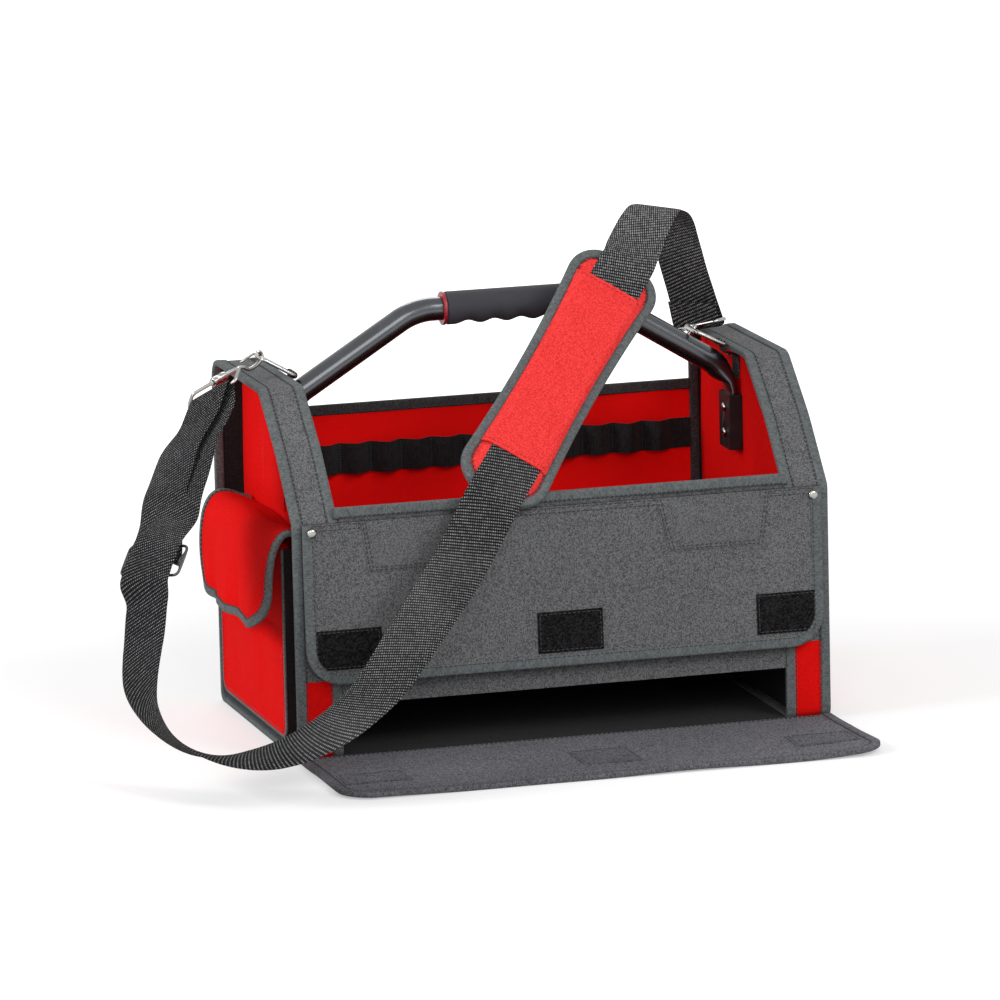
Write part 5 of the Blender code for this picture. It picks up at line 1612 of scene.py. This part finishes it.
# Stations of the webbing: x, y and z in millimetres, and the direction across it in thousandths
STRAP_MM = (
    (-375.2, -135.6, 197, -696, 713, -87), (-376.5, -137, 195.1, -696, 713, -87),
    (-376.9, -137.6, 193.9, -696, 713, -87), (-376.8, -137.7, 192.5, -696, 713, -87),
    (-376.3, -137.3, 191.3, -696, 713, -87), (-375.4, -136.5, 190.6, -696, 713, -87),
    (-374.4, -135.5, 190.6, -696, 713, -87), (-373.5, -134.7, 191.3, -865, 430, -260),
    (-363, -103, 206.7, -782, 516, -351), (-358.6, -96.3, 214.2, -670, 707, -228),
    (-354.1, -89.7, 221.8, -660, 713, -237), (-349.5, -82.9, 229.3, -647, 721, -247),
    (-344.6, -76, 236.7, -632, 729, -261), (-339.5, -68.9, 244.2, -615, 738, -276),
    (-334.5, -62.1, 251.5, -600, 745, -292), (-329.8, -55.4, 258.7, -586, 750, -306),
    (-325.2, -48.9, 265.9, -566, 765, -307), (-320.5, -42.9, 272.7, -545, 780, -307),
    (-315.7, -37.6, 279.2, -530, 785, -320), (-310.9, -32.8, 285.5, -535, 765, -360),
    (-306, -28, 291.7, -545, 735, -405), (-291.5, -16.7, 318.3, -561, 673, -481),
    (-290.5, -15.2, 319.2, -561, 673, -481), (-289, -14, 319.1, -561, 673, -481),
    (-287.4, -13.3, 318.3, -561, 673, -481), (-286.2, -13.4, 316.8, -561, 673, -481),
    (-285.6, -14.1, 315.1, -561, 673, -481), (-285.9, -15.3, 313.7, -561, 673, -481),
    (-289.5, -31.5, 301.1, -562, 666, -490), (-293.6, -36.5, 294.8, -540, 710, -450),
    (-297.6, -41.5, 288.5, -525, 745, -415), (-302.5, -48, 281.1, -508, 768, -391),
    (-308.5, -57.1, 272, -550, 740, -387), (-315.3, -67.6, 261.9, -590, 728, -349),
    (-322.5, -78.1, 251.8, -613, 732, -295), (-330.2, -88.1, 242, -626, 739, -249),
    (-338.4, -98.1, 232.3, -644, 734, -215), (-346.5, -108.1, 222.5, -620, 771, -146),
    (-363.9, -122.6, 212.7, -652, 757, -38), (-370, -129.1, 207.4, -696, 713, -87),
    (-376.6, -136.7, 198.9, -696, 713, -87), (-379.2, -139.7, 195, -696, 713, -87),
    (-385, -146.4, 185.1, -696, 713, -87), (-388.6, -151.1, 176.9, -736, 653, -182),
    (-387, -155, 162.3, -577, 771, -268), (-389.4, -159.8, 151.6, -565, 793, -227),
    (-391.8, -164.5, 140.8, -562, 793, -236), (-394.5, -169.9, 129.8, -550, 796, -254),
    (-398.3, -176.4, 117.9, -526, 804, -278), (-402.4, -183.4, 105.6, -495, 806, -323),
    (-405, -189.9, 94.3, -440, 809, -389), (-405.3, -195.1, 84.5, -332, 827, -453),
    (-404, -199.8, 75.5, -187, 832, -522), (-401.5, -205.1, 67.3, -34, 806, -590),
    (-397.7, -211.2, 59.6, 113, 780, -615), (-392.7, -217.9, 52.7, 257, 751, -609),
    (-387, -225.1, 47, 399, 703, -589), (-380.8, -232.9, 42.8, 525, 661, -536),
    (-373.9, -241.3, 39.8, 620, 645, -447), (-366.5, -250, 38, 691, 637, -342),
    (-358.7, -259.1, 37.4, 739, 641, -208), (-350.5, -268.5, 37.9, 735, 676, -52),
    (-342, -277.1, 39, 681, 728, 80), (-333.3, -284.8, 40.4, 608, 773, 179),
    (-324.3, -291.8, 42.3, 532, 805, 263), (-315.5, -298, 44.8, 451, 829, 330),
    (-306.9, -303.5, 47.8, 361, 853, 377), (-298.5, -308.2, 51.5, 262, 876, 404),
    (-290, -312, 55.4, 161, 894, 419), (-281.5, -315.1, 59.6, 62, 905, 421),
    (-272.9, -317.2, 64, -54, 914, 402), (-264.5, -318, 68.6, -190, 913, 362),
    (-256.4, -317.3, 73, -325, 893, 313), (-248.4, -315.3, 77.5, -433, 861, 268),
    (-240, -312, 82.4, -506, 828, 240), (-231.3, -307.7, 87.5, -567, 794, 220),
    (-222.1, -302.2, 92.9, -629, 751, 200), (-212, -294.9, 99.8, -683, 705, 192),
    (-201.1, -286, 108.5, -726, 658, 199), (-189.1, -275.3, 118.6, -755, 617, 223),
    (-175, -262, 130.4, -773, 579, 259), (-156.6, -243.7, 145.1, -786, 537, 307),
    (-136.1, -222.7, 161.4, -792, 492, 361), (-118.5, -205.1, 176.1, -799, 449, 399),
    (-106.1, -193.3, 188.2, -812, 415, 410), (-96.8, -184.9, 198.6, -822, 393, 412),
    (-89, -177.9, 207.7, -826, 374, 422), (-82.8, -172.3, 215, -832, 348, 432),
    (-78.1, -168.2, 220.8, -838, 322, 440), (-73.5, -164.2, 226.7, -813, 320, 487),
    (-64.5, -156.5, 235.9, -798, 332, 503), (16.5, -87.1, 318.6, -798, 332, 503),
    (97.5, -17.7, 401.4, -798, 332, 503), (106.5, -10, 410.5, -821, 307, 481),
    (111.6, -1.8, 415.3, -867, 322, 381), (116.8, 6.5, 420, -872, 390, 295), (122, 14, 425, -854, 468, 229),
    (127.4, 20.5, 431.1, -820, 540, 190), (132.9, 26.2, 437.4, -787, 594, 164),
    (138.5, 32, 442.4, -765, 630, 135), (144.1, 38.1, 445.7, -749, 654, 105),
    (149.9, 44.2, 447.6, -730, 679, 82), (155.5, 50.1, 447.9, -704, 707, 62),
    (161.2, 55.6, 446.4, -682, 730, 42), (166.9, 60.9, 443.3, -683, 730, 32),
    (172, 66.1, 438.2, -699, 714, 49), (176.3, 71, 430.6, -706, 705, 69), (180, 75.8, 421.1, -707, 704, 66),
    (183.5, 80.1, 411.2, -707, 705, 50), (186.7, 83.9, 401.3, -706, 707, 35),
    (189.6, 87.2, 391.1, -704, 710, 17), (192.5, 90.1, 380.9, -700, 714, -16),
    (195.4, 92.4, 371, -697, 716, -50), (198.2, 94.2, 361.2, -699, 712, -66),
    (201, 96.1, 351.3, -715, 696, -65), (209.1, 102.4, 328.5, -712, 699, -74),
    (209.5, 102.1, 326.6, -633, 729, -259), (209, 101.1, 325, -633, 729, -259),
    (208, 99.9, 324, -633, 729, -259), (206.5, 98.6, 324, -633, 729, -259),
    (205.1, 97.7, 324.9, -633, 729, -259), (204.1, 97.4, 326.5, -697, 714, -66),
    (198.9, 93.9, 349.7, -697, 715, -50),
)


def ribbon(width, depth, columns=14):
    """Flat section with soft edges: half depth times (1 - (2x/width)^6)^(1/3)."""
    x = np.linspace(-1, 1, columns)
    half = depth / 2 * (1 - np.abs(x) ** 6) ** (1 / 3)
    return np.vstack(
        [np.column_stack([x * width / 2, half]), np.column_stack([x[::-1] * width / 2, -half[::-1]])[1:-1]]
    )


def even_curve(stations, steps=8):
    """Catmull-Rom curve whose knots lie the root of each distance apart, so that it never overshoots."""
    ends = np.vstack([2 * stations[0] - stations[1], stations, 2 * stations[-1] - stations[-2]])
    gaps = np.sqrt(np.linalg.norm(np.diff(ends[:, :3], axis=0), axis=1))
    knots = np.concatenate([[0.0], np.cumsum(gaps)])
    a, b, c, d = (ends[index : len(ends) - 3 + index, None, :] for index in range(4))
    ta, tb, tc, td = (knots[index : len(knots) - 3 + index, None, None] for index in range(4))
    t = tb + (tc - tb) * (np.arange(steps) / steps)[None, :, None]

    def between(low, high, start, end):
        return ((end - t) * low + (t - start) * high) / (end - start)

    first, middle, last = between(a, b, ta, tb), between(b, c, tb, tc), between(c, d, tc, td)
    way = between(between(first, middle, ta, tc), between(middle, last, tb, td), tb, tc)
    return np.vstack([way.reshape(-1, stations.shape[1]), stations[-1:]])


def strap_way():
    """Centre line, direction across and direction out of the webbing, from its stations.

    The left strands hang up to 6 mm and the top arch up to 4 mm further left than the stations, and
    the low loop lies 4 mm further in and 3 mm higher.
    """
    way = even_curve(np.array(STRAP_MM, float) * 0.001)
    path, across = way[:, :3].copy(), unit(way[:, 3:])
    x, z = path[:, 0].copy(), path[:, 2].copy()
    left, arch = x < -0.275, x > 0.100
    path[:, 0] -= 0.006 * fade(z, 0.214, 0.300, 0.030) * left + 0.004 * fade(x, 0.135, 0.210, 0.030) * arch
    low = np.clip((0.120 - z) / 0.060, 0, 1) * np.clip((-0.290 - x) / 0.060, 0, 1)
    path += low[:, None] * np.array([0.004, 0.0, 0.003])
    at = lengths(path)
    even = np.linspace(0, at[-1], 1050)
    both = np.hstack([path, across])
    both = np.stack([np.interp(even, at, both[:, axis]) for axis in range(6)], axis=1)
    path, across = both[:, :3], both[:, 3:]
    weight = np.exp(-(((even[:, None] - even[None, :]) / 0.007) ** 2))
    across = unit(weight @ across)
    return path, across, unit(np.cross(slopes(path), across))


class TOTE_OT_strap(Operator):
    """Makes the shoulder strap's webbing and its sewn ends"""

    bl_idname = "tote.strap"
    bl_label = "Shoulder strap"

    def execute(self, context):
        path, across, up = strap_way()
        carry(
            "shoulder_strap_webbing", path, across, up, ribbon(0.0498, 0.0019), webbing(), "carcass",
            ("shoulder_strap",),
        )
        rows = []
        for at in (-4, -8):
            spread = np.linspace(-0.022, 0.022, 12)[:, None]
            for out in (1, -1):
                rows.append((path[at] + across[at] * spread + up[at] * out * 0.0010, up[at] * out))
        stitches("shoulder_strap_stitches", rows, thread(), "carcass")
        return {"FINISHED"}


# Shoulder pad

PAD_MIDDLE = np.array([0.0139, -0.08634, 0.31868])
PAD_ALONG = np.array([0.6001, 0.51394, 0.61298])
PAD_ACROSS = np.array([-0.79800, 0.33200, 0.50300])
PAD_OUT = np.cross(PAD_ALONG, PAD_ACROSS)
PAD_OUT *= -np.sign(PAD_OUT[1])


def pad_point(along, across, out):
    """Point of the pad's own frame: middle + along, across and out of its face."""
    along, across, out = np.broadcast_arrays(*(np.asarray(item, float) for item in (along, across, out)))
    return (
        PAD_MIDDLE + along[..., None] * PAD_ALONG + across[..., None] * PAD_ACROSS
        + out[..., None] * PAD_OUT
    )


def pad_half_width(along):
    """Half width of the pad, with a slight waist: 42 mm at the ends and 37 mm in the middle."""
    return 0.0372 + 0.0048 * np.clip(np.abs(along) / 0.12, 0, 1) ** 2


def pad_outline(inset, count=360):
    """Rounded outline of the pad, moved in by the inset."""
    low, high, half = -0.138, 0.149, 0.042
    corners = ((low, -half), (high, -half), (high, half), (low, half))
    way = resample(rounded(corners, (0.034, 0.028, 0.028, 0.034), 16), count, closed=True)
    way[:, 1] *= pad_half_width(way[:, 0]) / half
    along = slopes(way, closed=True)
    out = np.column_stack([along[:, 1], -along[:, 0]])
    if np.mean(np.sum(out * way, axis=1)) < 0:
        out = -out
    return way - out * inset


class TOTE_OT_pad(Operator):
    """Makes the padded shoulder piece, its red sleeve, edge tape and seams"""

    bl_idname = "tote.pad"
    bl_label = "Shoulder pad"

    def execute(self, context):
        pad = self.cushion()
        self.sleeve()
        way = pad_outline(0.0030)
        path = pad_point(way[:, 0], way[:, 1], -0.0052)
        side = unit(np.cross(slopes(path, True), PAD_OUT))
        carry(
            "shoulder_pad_tape", path, side, PAD_OUT, pill(0.0088, 0.0086, 24, 0.6), binding_tape(), "pad",
            closed=True,
        )
        ring = pad_outline(0.0082, 420)
        row = pad_point(ring[:, 0], ring[:, 1], -0.0012)
        rows = [(np.vstack([row, row[:1]]), PAD_OUT)]
        stitches("shoulder_pad_stitches", rows, thread(), "pad")
        return {"FINISHED"}

    def cushion(self):
        """Foam body: a thin form between two faces, then swollen by cloth pressure under a cap."""
        ring = pad_outline(0.0040, 200)
        shrink = np.array([0.0, 0.12, 0.35, 0.65, 1.0])
        layers = []
        for out, row in ((-0.0026, shrink[::-1]), (-0.0078, shrink)):
            for share in row:
                flat = ring * (1 - share * 0.999)
                layers.append(pad_point(flat[:, 0], flat[:, 1], out))
        rings = np.stack(layers)
        zero = np.zeros((len(rings), rings.shape[1] + 1, 2))
        obj = skin(
            "shoulder_pad_foam", rings, zero, [sleeve_cloth(), black_cloth()], "pad",
            ("shoulder_pad",), crease=60,
        )
        swell(obj, voxel=0.0035, frames=sizes().pad_frames, cap=sizes().pad_rise)
        spread_on_pad(obj)
        return obj

    def sleeve(self):
        """Sleeve over the webbing: lies on the pad beside it and rises over it, drawn in at its two ends."""
        low, high = -0.093, 0.1165
        along, share = grid(low, high, -1, 1, 120, 72)
        half = pad_half_width(along) - 0.0072
        across = share * half
        over = np.clip((half - np.abs(across)) / (half - 0.0262), 0, 1)
        rise = 0.0036 * eased(over)
        crown = 0.0012 * (1 - (across / half) ** 2)
        puckers = 0.0005 * np.sin(2 * np.pi * along / 0.019) * (1 - over)
        puckers = puckers + ripple(along, across, 0.0007, ((0.09, 0.21, 0.3), (0.05, -0.11, 1.4)))
        out = -0.0014 + rise + crown + puckers * fade(along, low, high, 0.012)
        surface = pad_point(along, across, out)
        front, back = thick(surface, 0.0014, PAD_OUT)
        uv = np.stack([along, across], axis=-1)
        cloth(
            "shoulder_pad_sleeve", front, back, uv, sleeve_cloth(), "pad",
            ("shoulder_pad_cover",),
        )
        rows = [(front[row], PAD_OUT) for row in (2, 117)]
        stitches("shoulder_pad_sleeve_stitches", rows, thread(True), "pad", radius=0.0005)
        rows = [(front[row], PAD_OUT) for row in (6, 113)]
        rows += [(front[:, column], PAD_OUT) for column in (1, 70)]
        stitches("shoulder_pad_inner_stitches", rows, sleeve_thread(), "pad", radius=0.0004)


def swell(obj, voxel, frames, cap):
    """Remeshes the form, fills it with pressure as cloth, and moves each point no more than the cap."""
    scene = bpy.context.scene
    remesh = obj.modifiers.new("Voxels", "REMESH")
    remesh.mode, remesh.voxel_size = "VOXEL", voxel
    settle(obj)
    start = np.empty(len(obj.data.vertices) * 3)
    obj.data.vertices.foreach_get("co", start)
    press = obj.modifiers.new("Swell", "CLOTH")
    press.settings.use_pressure = True
    press.settings.uniform_pressure_force = 4.0
    press.settings.effector_weights.gravity = 0.0
    press.point_cache.frame_start, press.point_cache.frame_end = 1, frames
    for step in range(1, frames + 1):
        scene.frame_set(step)
    settle(obj)
    end = np.empty(len(obj.data.vertices) * 3)
    obj.data.vertices.foreach_get("co", end)
    scene.frame_set(1)
    moved = (end - start).reshape(-1, 3)
    far = np.linalg.norm(moved, axis=1, keepdims=True)
    moved *= np.minimum(1.0, cap / np.maximum(far, 1e-9))
    obj.data.vertices.foreach_set("co", (start.reshape(-1, 3) + moved).ravel())
    finer = obj.modifiers.new("Finer", "SUBSURF")
    finer.levels = finer.render_levels = 1
    settle(obj)


def settle(obj):
    """Makes what the modifiers show the object's own mesh, and takes the modifiers off."""
    graph = bpy.context.evaluated_depsgraph_get()
    graph.update()
    mesh = bpy.data.meshes.new_from_object(obj.evaluated_get(graph))
    obj.modifiers.clear()
    old, obj.data = obj.data, mesh
    bpy.data.meshes.remove(old)


def spread_on_pad(obj):
    """Lays the cloth on the pad flat along its own frame; faces that look back are black, the rest red."""
    mesh = obj.data
    place = np.empty(len(mesh.vertices) * 3)
    mesh.vertices.foreach_get("co", place)
    place = place.reshape(-1, 3) - PAD_MIDDLE
    corner = np.empty(len(mesh.loops), dtype=np.int64)
    mesh.loops.foreach_get("vertex_index", corner)
    layer = mesh.uv_layers.get("Cloth") or mesh.uv_layers.new(name="Cloth")
    layer.data.foreach_set("uv", np.column_stack([place @ PAD_ALONG, place @ PAD_ACROSS])[corner].ravel())
    normal = np.empty(len(mesh.polygons) * 3)
    mesh.polygons.foreach_get("normal", normal)
    mesh.polygons.foreach_set("material_index", (normal.reshape(-1, 3) @ PAD_OUT < -0.2).astype(int))
    mesh.polygons.foreach_set("use_smooth", [True] * len(mesh.polygons))
    mesh.update()


# Panel and start


OPERATORS = (
    TOTE_OT_stage, TOTE_OT_carcass, TOTE_OT_ends, TOTE_OT_apron, TOTE_OT_drop_flap, TOTE_OT_pockets,
    TOTE_OT_handle, TOTE_OT_tool_loops, TOTE_OT_fittings, TOTE_OT_strap, TOTE_OT_pad,
)


class TOTE_PT_sidebar(Panel):
    """Lists the tote's pieces, colours and sizes"""

    bl_idname = "TOTE_PT_sidebar"
    bl_label = "Tool Tote"
    bl_space_type = "VIEW_3D"
    bl_region_type = "UI"
    bl_category = "Tool Tote"

    def draw(self, context):
        layout = self.layout
        for operator in OPERATORS:
            layout.operator(operator.bl_idname)
        for group_of in (context.scene.tote_colours, context.scene.tote_sizes, context.scene.tote_stage):
            box = layout.box()
            for key in group_of.__annotations__:
                box.prop(group_of, key)


CLASSES = (ToteColours, ToteSizes, ToteStage, *OPERATORS, TOTE_PT_sidebar)


def register():
    for kind in CLASSES:
        bpy.utils.register_class(kind)
    bpy.types.Scene.tote_colours = PointerProperty(type=ToteColours)
    bpy.types.Scene.tote_sizes = PointerProperty(type=ToteSizes)
    bpy.types.Scene.tote_stage = PointerProperty(type=ToteStage)


def unregister():
    for key in ("tote_stage", "tote_sizes", "tote_colours"):
        delattr(bpy.types.Scene, key)
    for kind in reversed(CLASSES):
        bpy.utils.unregister_class(kind)


def main():
    """Makes every piece in order."""
    register()
    for operator in OPERATORS:
        kit, name = operator.bl_idname.split(".")
        getattr(getattr(bpy.ops, kit), name)()


if __name__ == "__main__":
    main()
